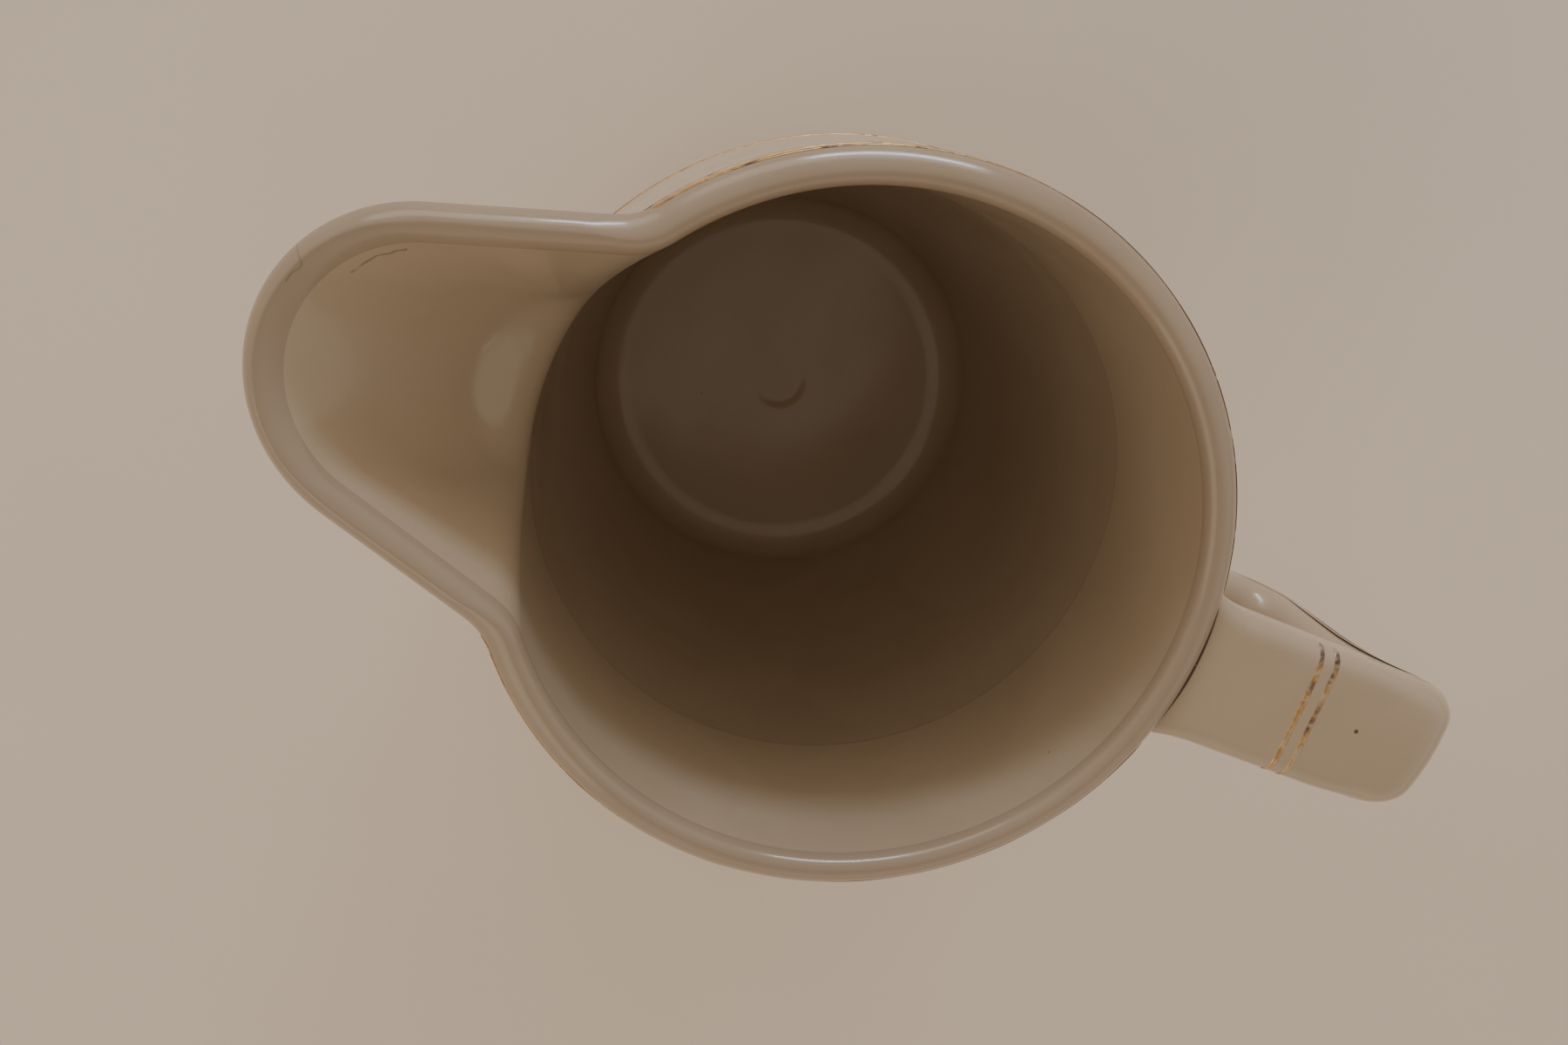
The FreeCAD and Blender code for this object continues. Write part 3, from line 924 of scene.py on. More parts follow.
@dataclass
class Vessel:
    """The cast body of the pitcher, from its foot to its lip and its spout.

    The columns are crowded towards the spout. A bow is the radius of an arc of the section. The
    outer beak's pairs are its reach and its tip's radius. The lip's crest is a share of the way
    out, on the round part and in the spout, and the inner blend is that at the crease and that at
    the lip. A fade is how many heights of the hem the spout takes to come in.
    """

    columns: int = 576
    crowding: float = 0.42
    wall: float = 5.2 * MM
    lip_wall: float = 5.1 * MM
    lip_crest: tuple[float, float] = (0.36, 0.62)
    lip_power: float = 1.45
    tip_slope: float = 0.92
    undercut: float = 0.7 * MM
    crease_round: float = 0.3 * MM
    belly_bow: float = 304.0 * MM
    cove: float = 7.5 * MM
    heel_bow: float = 9.6 * MM
    hem_bow: float = 4.8 * MM
    hem_height: float = 3.0 * MM
    groove: float = 0.7 * MM
    foot_width: float = 4.6 * MM
    foot_round: float = 1.0 * MM
    outer_middle: tuple[float, float] = (72.0 * MM, 21.0 * MM)
    outer_low: tuple[float, float] = (56.0 * MM, 18.0 * MM)
    inner_middle: float = 65.8 * MM
    inner_low: float = 49.8 * MM
    tip_radius: float = 23.3 * MM
    outer_blend: float = 2.2 * MM
    inner_blend: tuple[float, float] = (6.5 * MM, 2.6 * MM)
    spout_cut: float = math.radians(41.0)
    wobble_size: float = 0.09 * MM
    swirl_radius: float = 4.6 * MM
    swirl_height: float = 0.42 * MM
    swirl_width: float = 1.1 * MM
    swirl_dip: float = 2.6 * MM
    swirl_turn: float = 2.2
    floor_steps: int = 44
    true_foot: float = 10.0 * MM
    slope_reading: float = 2.0 * MM
    crest_gap: float = 0.08
    outer_fade: float = 1.6
    inner_fade: float = 4.0

    def __post_init__(self) -> None:
        """Takes the main levels and radii from the frame, and works out the whole surface."""
        self.foot_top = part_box("foot_ring")[1].z
        self.foot_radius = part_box("foot_ring")[1].y
        self.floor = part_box("base_floor")[1].z
        self.heel_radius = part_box("base_floor")[1].y
        self.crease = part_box("belly_wall")[1].z
        self.hem_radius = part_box("neck_collar")[1].y
        self.lip_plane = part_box("neck_collar")[1].z
        self.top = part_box("rim_lip")[1].z
        self.lip_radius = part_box("rim_lip")[1].y
        self.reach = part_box("rim_lip")[1].x
        self.mouth_radius = self.lip_radius - self.lip_wall
        self.groove_radius = self.hem_radius - self.groove
        outer_radii = (self.outer_low[1], self.outer_middle[1], self.tip_radius)
        self.outer_beak = Beak((self.outer_low[0], self.outer_middle[0], self.reach), outer_radii)
        inner_reaches = (self.inner_low, self.inner_middle, self.reach - self.lip_wall)
        self.inner_beak = Beak(inner_reaches, tuple(radius - self.lip_wall for radius in outer_radii))
        turn = np.linspace(-math.pi, math.pi, self.columns, endpoint=False)
        self.angle = turn - self.crowding * np.sin(turn)
        self.grid, self.zones = self.surface()

    def wobble(self, angle: Array, height: Array) -> Array:
        """How far the casting is out of true: two slow waves round the pot that turn with height.

        Args:
            angle: Direction from the axis.
            height: Height above the foot.

        Returns:
            What is added to the distance from the axis.
        """
        slow = np.sin(2.0 * angle + 9.0 * height + 0.7)
        quick = np.sin(3.0 * angle - 22.0 * height + 2.1)
        return self.wobble_size * (slow + 0.6 * quick)

    def share(self, height: Array) -> Array:
        """Height from 0 at the crease to 1 at the lip."""
        return np.clip((height - self.crease) / (self.lip_plane - self.crease), 0.0, 1.0)

    def collar(self, height: Array) -> Array:
        """The collar's outer radius, which grows evenly from the lip to the hem.

        Args:
            height: Height above the foot.

        Returns:
            The radius.
        """
        hem_top = self.crease + self.hem_height
        share = np.clip((self.lip_plane - height) / (self.lip_plane - hem_top), 0.0, 1.0)
        return self.lip_radius + (self.hem_radius - self.lip_radius) * share

    def outside(self, angle: Array, height: Array, radius: Optional[Array] = None) -> Array:
        """The outer face: the smooth larger of a round wall and the spout, which fades in at the hem.

        Args:
            angle: Direction from the axis.
            height: Height above the foot.
            radius: The round wall's radius, or None for the collar's own.

        Returns:
            The face's distance from the axis.
        """
        radius = self.collar(height) if radius is None else radius
        beak = self.outer_beak.distance(angle, self.share(height))
        spread = smooth_max(radius, beak, self.outer_blend)
        fade = smooth_step((height - self.crease) / (self.outer_fade * self.hem_height))
        return radius + fade * (spread - radius) + self.wobble(angle, height)

    def inside(self, angle: Array, height: Array, radius: Optional[Array] = None) -> Array:
        """The inner face, with its rounding at the spout softer low down than at the lip.

        Args:
            angle: Direction from the axis.
            height: Height above the foot.
            radius: The round wall's radius, or None for the mouth's own.

        Returns:
            The face's distance from the axis.
        """
        radius = np.full_like(height, self.mouth_radius) if radius is None else radius
        share = self.share(height)
        beak = self.inner_beak.distance(angle, share)
        blend = self.inner_blend[0] + (self.inner_blend[1] - self.inner_blend[0]) * share
        spread = smooth_max(radius, beak, blend)
        fade = smooth_step((height - self.crease) / (self.inner_fade * self.hem_height))
        return radius + fade * (spread - radius) + self.wobble(angle, height)

    def floor_rows(self) -> tuple[Array, Array]:
        """The inside floor, level but for a shallow turned mark round its middle.

        The mark is a low ring, higher on one side, round a dip. Both fall off as the exponential of
        the squared distance from where they are strongest.

        Returns:
            The rows' distances from the axis and their heights.
        """
        edge = self.heel_radius - self.wall - self.cove
        radius = edge * np.linspace(0.0, 1.0, self.floor_steps)[:, None] ** 0.9
        lopsided = 0.5 + 0.5 * np.cos(self.angle[None, :] - self.swirl_turn)
        ring = np.exp(-(((radius - self.swirl_radius) / self.swirl_width) ** 2))
        dip = np.exp(-((radius / self.swirl_dip) ** 2))
        lift = self.swirl_height * (ring * lopsided - 0.6 * dip)
        return np.broadcast_to(radius, lift.shape), self.floor + lift

    def turned(self, path: Array) -> tuple[Array, Array]:
        """A section path turned round the axis, with the casting's wobble, which fades in above the foot.

        Args:
            path: Distances from the axis and heights, one point a row.

        Returns:
            The rows' distances from the axis and their heights.
        """
        radius, height = path[:, :1], path[:, 1:]
        untrue = np.clip(height / self.true_foot, 0.0, 1.0)
        radius = radius + self.wobble(self.angle[None, :], height) * untrue
        return radius, np.broadcast_to(height, radius.shape)

    def collar_rows(
        self, low: float, high: float, count: int, face: Callable[..., Array]
    ) -> tuple[Array, Array]:
        """Level rows of a face between two heights.

        Args:
            low: The first height.
            high: The last one.
            count: How many rows.
            face: The face, which gives the distance from the axis for an angle and a height.

        Returns:
            The rows' distances from the axis and their heights.
        """
        height = np.linspace(low, high, count)[:, None]
        radius = face(self.angle[None, :], height)
        return radius, np.broadcast_to(height, radius.shape)

    def lip_edges(self, angle: Array) -> tuple[Array, Array, Array, Array]:
        """The lip's inner edge, the roll's control point, the crest and the outer edge.

        The crest lies further out where the inner wall leans outwards, as it does in the spout.

        Args:
            angle: Direction from the axis.

        Returns:
            The four distances from the axis.
        """
        level = np.full_like(angle, self.lip_plane)
        inner, outer = self.inside(angle, level), self.outside(angle, level)
        slope = (inner - self.inside(angle, level - self.slope_reading)) / self.slope_reading
        poured = smooth_step(slope / self.tip_slope)
        crest_share = self.lip_crest[0] + (self.lip_crest[1] - self.lip_crest[0]) * poured
        crest = inner + (outer - inner) * crest_share
        leaning = inner + slope * (self.top - self.lip_plane)
        control = np.minimum(leaning, crest - self.crest_gap * (outer - inner))
        return inner, control, crest, outer

    def painted_face(self, angle: Array, height: Array) -> Array:
        """The face that a line is brushed on: the collar's, or above the lip plane the lip's slope.

        Args:
            angle: Direction from the axis.
            height: Height above the foot.

        Returns:
            The face's distance from the axis.
        """
        _, _, crest, outer = self.lip_edges(angle)
        up = np.clip((height - self.lip_plane) / (self.top - self.lip_plane), 0.0, 1.0)
        slope = crest + (outer - crest) * (1.0 - up**self.lip_power) ** (1.0 / self.lip_power)
        return np.where(height > self.lip_plane, slope, self.outside(angle, height))

    def lip_rows(self) -> tuple[Array, Array]:
        """The lip: a soft roll up from the inner wall to a crest, then a long slope to a crisp edge.

        Inside the crest the section is a quarter of an ellipse, given as a rational quadratic curve
        whose middle weight is the root of a half, sheared so that it leaves the inner wall along the
        wall's own slope. Beyond the crest it follows a power curve: the way out and the way down,
        each as a share and raised to the edge's power, sum to one.

        Returns:
            The rows' distances from the axis and their heights.
        """
        inner, control, crest, outer = self.lip_edges(self.angle[None, :])
        rise = self.top - self.lip_plane
        way = np.linspace(0.0, 1.0, 15)[:, None]
        weights = (1.0 - way) ** 2, math.sqrt(2.0) * way * (1.0 - way), way**2
        total = sum(weights)
        rolling = (weights[0] * inner + weights[1] * control + weights[2] * crest) / total
        rolling_height = (weights[0] * self.lip_plane + (weights[1] + weights[2]) * self.top) / total
        turn = np.linspace(0.0, 0.5 * math.pi, 18)[1:, None]
        out, down = np.sin(turn) ** (2.0 / self.lip_power), np.cos(turn) ** (2.0 / self.lip_power)
        falling = crest + (outer - crest) * out
        radius = np.concatenate([rolling, falling])
        height = np.concatenate([rolling_height, self.lip_plane + rise * down])
        return radius, np.broadcast_to(height, radius.shape)

    def surface(self) -> tuple[Grid, dict[str, Array]]:
        """The whole pot as one grid, from the middle of its floor, over the lip, to its underside.

        Returns:
            The grid, and each zone's row numbers, which include the row that it shares with the
            zone before it.
        """
        inner_heel = self.heel_radius - self.wall
        cove_top = self.floor + self.cove
        foot_inside = self.foot_radius - self.foot_width
        hem_top = self.crease + self.hem_height
        small = self.crease_round
        crease_path = rounded_path(
            np.array([
                [self.mouth_radius + self.undercut, self.crease - 2.0 * small],
                [self.mouth_radius + self.undercut, self.crease],
                [self.mouth_radius, self.crease],
                [self.mouth_radius, self.crease + 3.0 * small],
            ]),
            small, 4, 1,
        )
        foot_path = rounded_path(
            np.array([
                [self.foot_radius, self.foot_top],
                [self.foot_radius, 0.0],
                [foot_inside, 0.0],
                [foot_inside, self.foot_top],
            ]),
            self.foot_round, 6, 3,
        )
        hem_path = arc_between(
            (self.hem_radius, hem_top), (self.groove_radius, self.crease), self.hem_bow, -1, 9
        )
        hem_height = hem_path[:, 1:]
        hem = self.outside(self.angle[None, :], hem_height, hem_path[:, :1])
        underside = np.linspace(foot_inside, 0.0, 16)
        zones = {
            "floor": self.floor_rows(),
            "cove": self.turned(arc_between(
                (inner_heel - self.cove, self.floor), (inner_heel, cove_top), self.cove, 1, 10
            )),
            "belly inside": self.turned(arc_between(
                (inner_heel, cove_top),
                (self.mouth_radius + self.undercut, self.crease - 2.0 * small),
                self.belly_bow, 1, 38,
            )),
            "crease": self.turned(crease_path),
            "collar inside": self.collar_rows(self.crease + 3.0 * small, self.lip_plane, 32, self.inside),
            "lip": self.lip_rows(),
            "collar outside": self.collar_rows(self.lip_plane, hem_top, 30, self.outside),
            "hem": (hem, np.broadcast_to(hem_height, hem.shape)),
            "belly outside": self.turned(arc_between(
                (self.groove_radius, self.crease), (self.heel_radius, self.floor), self.belly_bow, -1, 46
            )),
            "heel": self.turned(arc_between(
                (self.heel_radius, self.floor), (self.foot_radius, self.foot_top), self.heel_bow, -1, 9
            )),
            "foot": self.turned(foot_path),
            "underside": self.turned(np.stack([underside, np.full_like(underside, self.foot_top)], axis=1)),
        }
        radii, heights, numbers, end = [], [], {}, 0
        for number, (name, (radius, height)) in enumerate(zones.items()):
            skipped = 1 if number else 0
            radii.append(radius[skipped:])
            heights.append(height[skipped:])
            numbers[name] = np.arange(end - skipped, end + len(radius) - skipped)
            end += len(radius) - skipped
        radius, height = np.concatenate(radii), np.concatenate(heights)
        points = np.stack([radius * np.cos(self.angle), radius * np.sin(self.angle), height], axis=-1)
        grid = Grid(points)
        grid.normals[0], grid.normals[-1] = UP, -UP
        grid.bend[[0, -1]] = 0.0
        return grid, numbers

    def rows(self, *names: str) -> Array:
        """Row numbers of several zones, in order."""
        return np.concatenate([self.zones[name] for name in names])

    def build(
        self,
        glaze: bpy.types.Material,
        cracked: bpy.types.Material,
        rubbed: bpy.types.Material,
        clay: bpy.types.Material,
    ) -> None:
        """Makes and dresses the six pieces of the cast body.

        Args:
            glaze: The glaze of belly, base and collar.
            cracked: The glaze of the spout, with hairlines.
            rubbed: The glaze of the lip, thinner and darker: partly real thin glaze, partly painted shade,
                with the same hairlines.
            clay: The bare clay of the foot ring.
        """
        front = np.flatnonzero(np.abs(self.angle) <= self.spout_cut)
        count = self.columns
        back = (np.arange(front[-1], front[0] + count + 1)) % count
        collar_zones = self.rows("collar inside")[1:], self.rows("collar outside"), self.rows("hem")[1:]
        open_walls = np.concatenate([self.zones["crease"][3:], *collar_zones])
        under = self.zones["crease"][:4]
        belly = np.concatenate(
            [self.rows("cove"), self.rows("belly inside")[1:], under[1:], self.rows("belly outside")]
        )
        base = self.rows("floor", "heel", "underside")
        spout = skin_of(self.grid, open_walls, front)
        make_piece("foot_ring_bare", skin_of(self.grid, self.rows("foot")), clay, ["foot_ring"])
        make_piece("base_glazed", skin_of(self.grid, base, poles=True), glaze, ["base_floor"])
        make_piece("belly_glazed", skin_of(self.grid, belly), glaze, ["belly_wall"])
        make_piece("collar_glazed", skin_of(self.grid, open_walls, back), glaze, ["neck_collar"])
        make_piece("spout_glazed", spout, cracked, ["pouring_spout"])
        # The lip wears the darker glaze: partly real thinner glaze, partly painted shade.
        make_piece("lip_glazed", skin_of(self.grid, self.rows("lip")), rubbed, ["rim_lip"])


# ---------------------------------------------------------------------------------------------
# The handle and its slip joints
# ---------------------------------------------------------------------------------------------


@dataclass
class Handle:
    """The squared loop handle, which spreads into a slip joint at each end.

    The crown is how far a face is domed, on the arms and on the grip. Slimming is where on the way
    down the width starts to shrink, and over how much of the way. Gripping is how far from the pot
    the section starts to change to the grip's, and over what length.
    """

    thickness: float = 10.0 * MM
    corner: float = 9.0 * MM
    inner_corner: float = 5.0 * MM
    arm_edge: float = 3.0 * MM
    grip_edge: float = 4.5 * MM
    crown: tuple[float, float] = (0.3 * MM, 1.2 * MM)
    grip_taper: float = 3.2 * MM
    root_reach: float = 52.6 * MM
    flare: float = 3.2 * MM
    upper_depth: float = 4.5 * MM
    root_dip: float = 2.8 * MM
    lower_depth: float = 2.3 * MM
    arm_steps: int = 46
    root_steps: int = 16
    corner_steps: int = 22
    grip_steps: int = 34
    slimming: tuple[float, float] = (0.08, 0.5)
    gripping: tuple[float, float] = (20.0 * MM, 14.0 * MM)
    side_crown: float = 0.6
    widest_edge: float = 0.92
    section_corner: int = 9
    section_width: int = 14
    section_side: int = 5

    def __post_init__(self) -> None:
        """Takes the handle's place from the frame, and works out its whole surface."""
        low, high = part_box("handle")
        self.far, self.near = low.x, high.x
        self.bottom, self.top = low.z, high.z
        self.half_width = high.y
        self.grid, self.joints = self.surface()

    def outlines(self) -> tuple[Array, Array, tuple[int, int]]:
        """The outer and the inner outline seen from the side, point against point.

        Arms and grip run straight. Each corner is a quarter circle on both outlines, with the same
        angle at the same number. In the slip joints the inner outline spreads away from the arm and
        the outer one dips, each by a depth times the square of how far the point is into the joint.

        Returns:
            The outer outline, the inner outline and the numbers of the two ends of the handle
            proper.
        """
        root = -self.root_reach
        inner_far = self.far + self.thickness
        inner_top, inner_bottom = self.top - self.thickness, self.bottom + self.thickness
        arm = np.concatenate([
            np.linspace(root, self.near, self.root_steps, endpoint=False),
            np.linspace(self.near, self.far + self.corner, self.arm_steps),
        ])
        inner_arm = np.concatenate([
            arm[: self.root_steps],
            np.linspace(self.near, inner_far + self.inner_corner, self.arm_steps),
        ])
        outer = self.side(arm, self.far, self.corner, self.top, self.bottom)
        inner = self.side(inner_arm, inner_far, self.inner_corner, inner_top, inner_bottom)
        into = self.into_joint(outer[:, 0])
        upper_half = outer[:, 1] > (self.top + self.bottom) / 2.0
        inner[:, 1] += np.where(upper_half, -self.upper_depth, self.lower_depth) * into
        outer[:, 1] -= np.where(upper_half, self.root_dip, self.lower_depth) * into
        return outer, inner, (self.root_steps, len(outer) - 1 - self.root_steps)

    def side(self, arm: Array, far: float, radius: float, top: float, bottom: float) -> Array:
        """One whole outline: arm, quarter circle, straight grip, quarter circle and arm.

        Args:
            arm: The places along an arm, from the root outwards.
            far: How far out the grip is.
            radius: The corners' radius.
            top: The upper arm's height.
            bottom: The lower arm's height.

        Returns:
            The outline, as places along the arm and heights, one point a row.
        """
        turn = np.linspace(0.5 * math.pi, math.pi, self.corner_steps)[1:]
        down = np.linspace(0.0, 1.0, self.grip_steps)[1:]
        height = (top - radius) + (bottom + radius - (top - radius)) * down
        return np.concatenate([
            np.stack([arm, np.full_like(arm, top)], axis=1),
            on_circle((far + radius, top - radius), radius, turn),
            np.stack([np.full_like(height, far), height], axis=1),
            on_circle((far + radius, bottom + radius), radius, turn + 0.5 * math.pi),
            np.stack([arm[-2::-1], np.full_like(arm[:-1], bottom)], axis=1),
        ])

    def into_joint(self, x: Array) -> Array:
        """The square of how far a place is into the slip joint: 0 at the handle and 1 at the root."""
        return np.clip((x - self.near) / (-self.root_reach - self.near), 0.0, 1.0) ** 2

    def surface(self) -> tuple[Grid, tuple[int, int]]:
        """The handle as one grid: a rounded section carried along between its two outlines.

        The width shrinks as a quarter of a sine wave on the way down. The faces are domed by a
        crown times the square of the share of the half width, which is larger on the grip.

        Returns:
            The grid, whose rows are stations and whose columns go round the section, and the
            numbers of the stations where the slip joints end.
        """
        outer, inner, joints = self.outlines()
        middle = (outer + inner) / 2.0
        outward = unit(outer - inner)
        half = np.linalg.norm(outer - inner, axis=1) / 2.0
        below = (self.top - middle[:, 1]) / (self.top - self.bottom)
        slim_start, slim_length = self.slimming
        slimmed = np.sin(0.5 * math.pi * np.clip((below - slim_start) / slim_length, 0.0, 1.0))
        width = self.half_width - self.grip_taper * slimmed
        width = width + self.flare * self.into_joint(outer[:, 0])
        grip_start, grip_length = self.gripping
        gripped = smooth_step((self.near - grip_start - middle[:, 0]) / grip_length)[:, None]
        crown = self.crown[0] + (self.crown[1] - self.crown[0]) * gripped
        straight_y, straight_up, round_y, round_up = self.section()
        edge = self.arm_edge + (self.grip_edge - self.arm_edge) * gripped
        edge = np.minimum(edge, self.widest_edge * half[:, None])
        across = straight_y * (width[:, None] - edge) + round_y * edge
        rise = straight_up * (half[:, None] - edge) + round_up * edge
        dome = 1.0 - (across / width[:, None]) ** 2
        rise = rise - crown * (1.0 - dome) * np.sign(rise)
        side_dome = 1.0 - (rise / half[:, None]) ** 2
        across = across - self.side_crown * self.crown[0] * (1.0 - side_dome) * np.sign(across)
        plan = middle[:, None, :] + rise[..., None] * outward[:, None, :]
        points = np.stack([plan[..., 0], across, plan[..., 1]], axis=-1)
        return Grid(points), joints

    def section(self) -> tuple[Array, Array, Array, Array]:
        """A rounded rectangle as shares: of its straight half sides, and of its corners' radius.

        Each corner is a quarter circle of even steps, and each side between two corners is
        straight, with even steps.

        Returns:
            The straight share across, the straight share up, the round share across and the
            round share up, for each point round the section.
        """
        signs = ((1, 1), (-1, 1), (-1, -1), (1, -1))
        parts: list[Array] = []
        for number, (across, up) in enumerate(signs):
            angle = np.linspace(0.0, 0.5 * math.pi, self.section_corner) + number * 0.5 * math.pi
            ones = np.ones(self.section_corner)
            parts.append(np.stack([across * ones, up * ones, np.cos(angle), np.sin(angle)]))
            next_across, next_up = signs[(number + 1) % 4]
            count = self.section_width if across != next_across else self.section_side
            share = np.linspace(0.0, 1.0, count + 2)[1:-1]
            straight = [across + (next_across - across) * share, up + (next_up - up) * share]
            ending = np.full(count, math.cos(angle[-1])), np.full(count, math.sin(angle[-1]))
            parts.append(np.stack([*straight, *ending]))
        return tuple(np.concatenate(parts, axis=1))

    def stretch(self, first: int, last: int) -> Skin:
        """The skin of the handle between two stations, with a cap at each end.

        Args:
            first: The first station.
            last: The last one.

        Returns:
            The closed skin.
        """
        stations = np.arange(first, last + 1)
        section = np.arange(self.grid.points.shape[1])
        points = self.grid.points[stations]
        count, width = points.shape[:2]
        faces = quads(count, width, False, True).tolist()
        faces += [list(range(width)), list(range(count * width - 1, (count - 1) * width - 1, -1))]
        pick = np.ix_(stations, section)
        return turned_outwards(Skin(
            points.reshape(-1, 3),
            self.grid.normals[pick].reshape(-1, 3),
            self.grid.bend[pick].reshape(-1),
            faces,
        ))

    def build(self, glaze: bpy.types.Material) -> None:
        """Makes and dresses the handle and its two slip joints.

        Args:
            glaze: The glaze of all three.
        """
        first, last = self.joints
        end = len(self.grid.points) - 1
        make_piece("handle_glazed", self.stretch(first, last), glaze, ["handle"])
        make_piece("upper_joint_glazed", self.stretch(0, first), glaze, ["upper_slip_joint"])
        make_piece("lower_joint_glazed", self.stretch(last, end), glaze, ["lower_slip_joint"])


# ---------------------------------------------------------------------------------------------
# The gilt lines
# ---------------------------------------------------------------------------------------------


@dataclass
class GiltLines:
    """Thin gold lines brushed round the collar and across the handle."""

    vessel: Vessel
    handle: Handle
    film: float = 0.10 * MM
    sunk: float = 0.08 * MM
    unevenness: float = 0.22
    drift: float = 0.16 * MM
    end_gap: float = 0.9 * MM
    reading: float = 0.3 * MM
    lip_raise: float = 0.62 * MM
    joint_gap: float = 0.5 * MM
    joint_width: float = 0.42 * MM
    joint_edge: float = 0.25
    handle_edge: float = 0.12
    handle_slant: float = 0.09
    steps_per_radian: int = 130
    least_steps: int = 8
    spout_readings: int = 2000
    least_spout: float = 0.2

    def band(self, course: Array, lift: Array, sideways: Array, half_width: Array) -> Skin:
        """A thin closed strip along a course on the glaze.

        Its section is seven points: five on a low arch, whose height is the film times one less
        the fourth power of the way from its middle, and two sunk into the glaze. Its width
        shrinks to a point at both ends like the root of the way to the end.

        Args:
            course: The strip's middle, one point a row.
            lift: The way out of the glaze at each point.
            sideways: The way across the strip at each point.
            half_width: Half the strip's width at each point.

        Returns:
            The strip's skin.
        """
        count = len(course)
        way = np.linspace(0.0, 1.0, count)
        to_end = np.minimum(way, 1.0 - way) * count / 4.0
        half_width = half_width * np.sqrt(np.clip(to_end, 0.02, 1.0))
        place = np.array([-1.0, -0.6, 0.0, 0.6, 1.0, 1.0, -1.0])
        height = self.film * (1.0 - place**4) + np.array([0, 0, 0, 0, 0, -self.sunk, -self.sunk])
        points = (
            course[:, None, :]
            + sideways[:, None, :] * (half_width[:, None] * place)[..., None]
            + lift[:, None, :] * height[None, :, None]
        )
        grid = Grid(points)
        faces = quads(count, 7, False, True).tolist()
        faces += [list(range(7)), list(range(count * 7 - 1, (count - 1) * 7 - 1, -1))]
        skin = Skin(
            points.reshape(-1, 3), grid.normals.reshape(-1, 3), np.zeros(count * 7), faces
        )
        return turned_outwards(skin)

    def width(self, way: Array, size: float, seed: float) -> Array:
        """Half the width of a brushed line: its size, plus three waves of different lengths.

        Args:
            way: How far along the line.
            size: Its width.
            seed: A number that sets its unevenness.

        Returns:
            Half the width at each place.
        """
        waves = (
            np.sin(way / (9.0 * MM) + seed)
            + 0.7 * np.sin(way / (3.7 * MM) + 2.3 * seed)
            + 0.5 * np.sin(way / (1.9 * MM) + 4.1 * seed)
        )
        return 0.5 * size * (1.0 + self.unevenness * waves / 2.2)

    def round_collar(
        self, node: str, stretches: Sequence[tuple[float, float]], seed: float, raised: float = 0.0
    ) -> Skin:
        """A line round the collar, flat on the outer face, whose slope is read a little above and below.

        Args:
            node: The CAD node whose height the line has.
            stretches: Where each stroke starts and ends, as angles.
            seed: A number that sets its unevenness.
            raised: How far above its node it is brushed on.

        Returns:
            The skin of all its strokes.
        """
        low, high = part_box(node)
        strokes = []
        for start, end in stretches:
            angle = np.linspace(start, end, int(abs(end - start) * self.steps_per_radian) + self.least_steps)
            height = (low.z + high.z) / 2.0 + self.drift * np.sin(2.0 * angle + seed)
            height = height + raised
            distance = self.vessel.painted_face(angle, height)
            course = np.stack([distance * np.cos(angle), distance * np.sin(angle), height], axis=1)
            out = self.vessel.painted_face(angle, height + self.reading)
            out = out - self.vessel.painted_face(angle, height - self.reading)
            up = 2.0 * self.reading / np.hypot(out, 2.0 * self.reading)
            out = out / np.hypot(out, 2.0 * self.reading)
            sideways = np.stack([out * np.cos(angle), out * np.sin(angle), up], axis=1)
            lift = np.stack([up * np.cos(angle), up * np.sin(angle), -out], axis=1)
            size = self.width(angle * distance, high.z - low.z, seed)
            strokes.append(self.band(course, lift, sideways, size))
        return joined(strokes)

    def across_handle(self, node: str, seed: float) -> Skin:
        """A line over the handle's top arm and down both its rounded edges, a little aslant.

        Args:
            node: The CAD node whose place along the arm the line has.
            seed: A number that sets its unevenness.

        Returns:
            The line's skin.
        """
        low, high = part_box(node)
        middle = (low.x + high.x) / 2.0
        grid = self.handle.grid
        upper_arm = grid.points[: len(grid.points) // 3, 0, 0]
        station = int(np.argmin(np.abs(upper_arm - middle)))
        section, normals = grid.points[station], grid.normals[station]
        outward = normals * np.sign((section - section.mean(0)) @ normals.T).diagonal()[:, None]
        chosen = np.flatnonzero(outward[:, 2] > self.handle_edge)
        order = chosen[np.argsort(section[chosen, 1])]
        course, lift = finer(section[order], 4), unit(finer(outward[order], 4))
        course[:, 0] = middle - self.handle_slant * course[:, 1]
        size = self.width(course[:, 1], high.x - low.x, seed)
        sideways = np.broadcast_to(np.array([1.0, 0.0, 0.0]), course.shape)
        return self.band(course, lift, sideways, size)

    def over_joint(self, distance: float, size: float, seed: float) -> Skin:
        """The stroke that carries the first line over the upper joint, at one distance from the axis.

        On each line along the joint's skin the stroke passes where the distance from the axis
        reaches the wanted one, found between the two stations on either side of it.

        Args:
            distance: The stroke's distance from the axis.
            size: Its width.
            seed: A number that sets its unevenness.

        Returns:
            The stroke's skin.
        """
        stations = self.handle.root_steps + 4
        points, normals = self.handle.grid.points[:stations], self.handle.grid.normals[:stations]
        away = np.hypot(points[..., 0], points[..., 1])
        after = np.argmax(away >= distance, axis=0)
        column = np.arange(points.shape[1])
        near, far = away[after - 1, column], away[after, column]
        share = ((distance - near) / np.maximum(far - near, 1e-9))[:, None]
        course = points[after - 1, column] * (1 - share) + points[after, column] * share
        lift = unit(normals[after, column])
        lift = lift * np.where((lift * (course - course.mean(0))).sum(1) < 0, -1.0, 1.0)[:, None]
        chosen = np.flatnonzero((lift[:, 2] > self.joint_edge) & (after > 0))
        order = chosen[np.argsort(course[chosen, 1])]
        course, lift = finer(course[order], 3), finer(lift[order], 3)
        sideways = unit(np.cross(lift, np.gradient(course, axis=0)))
        return self.band(course, unit(lift), sideways, self.width(course[:, 1], size, seed))

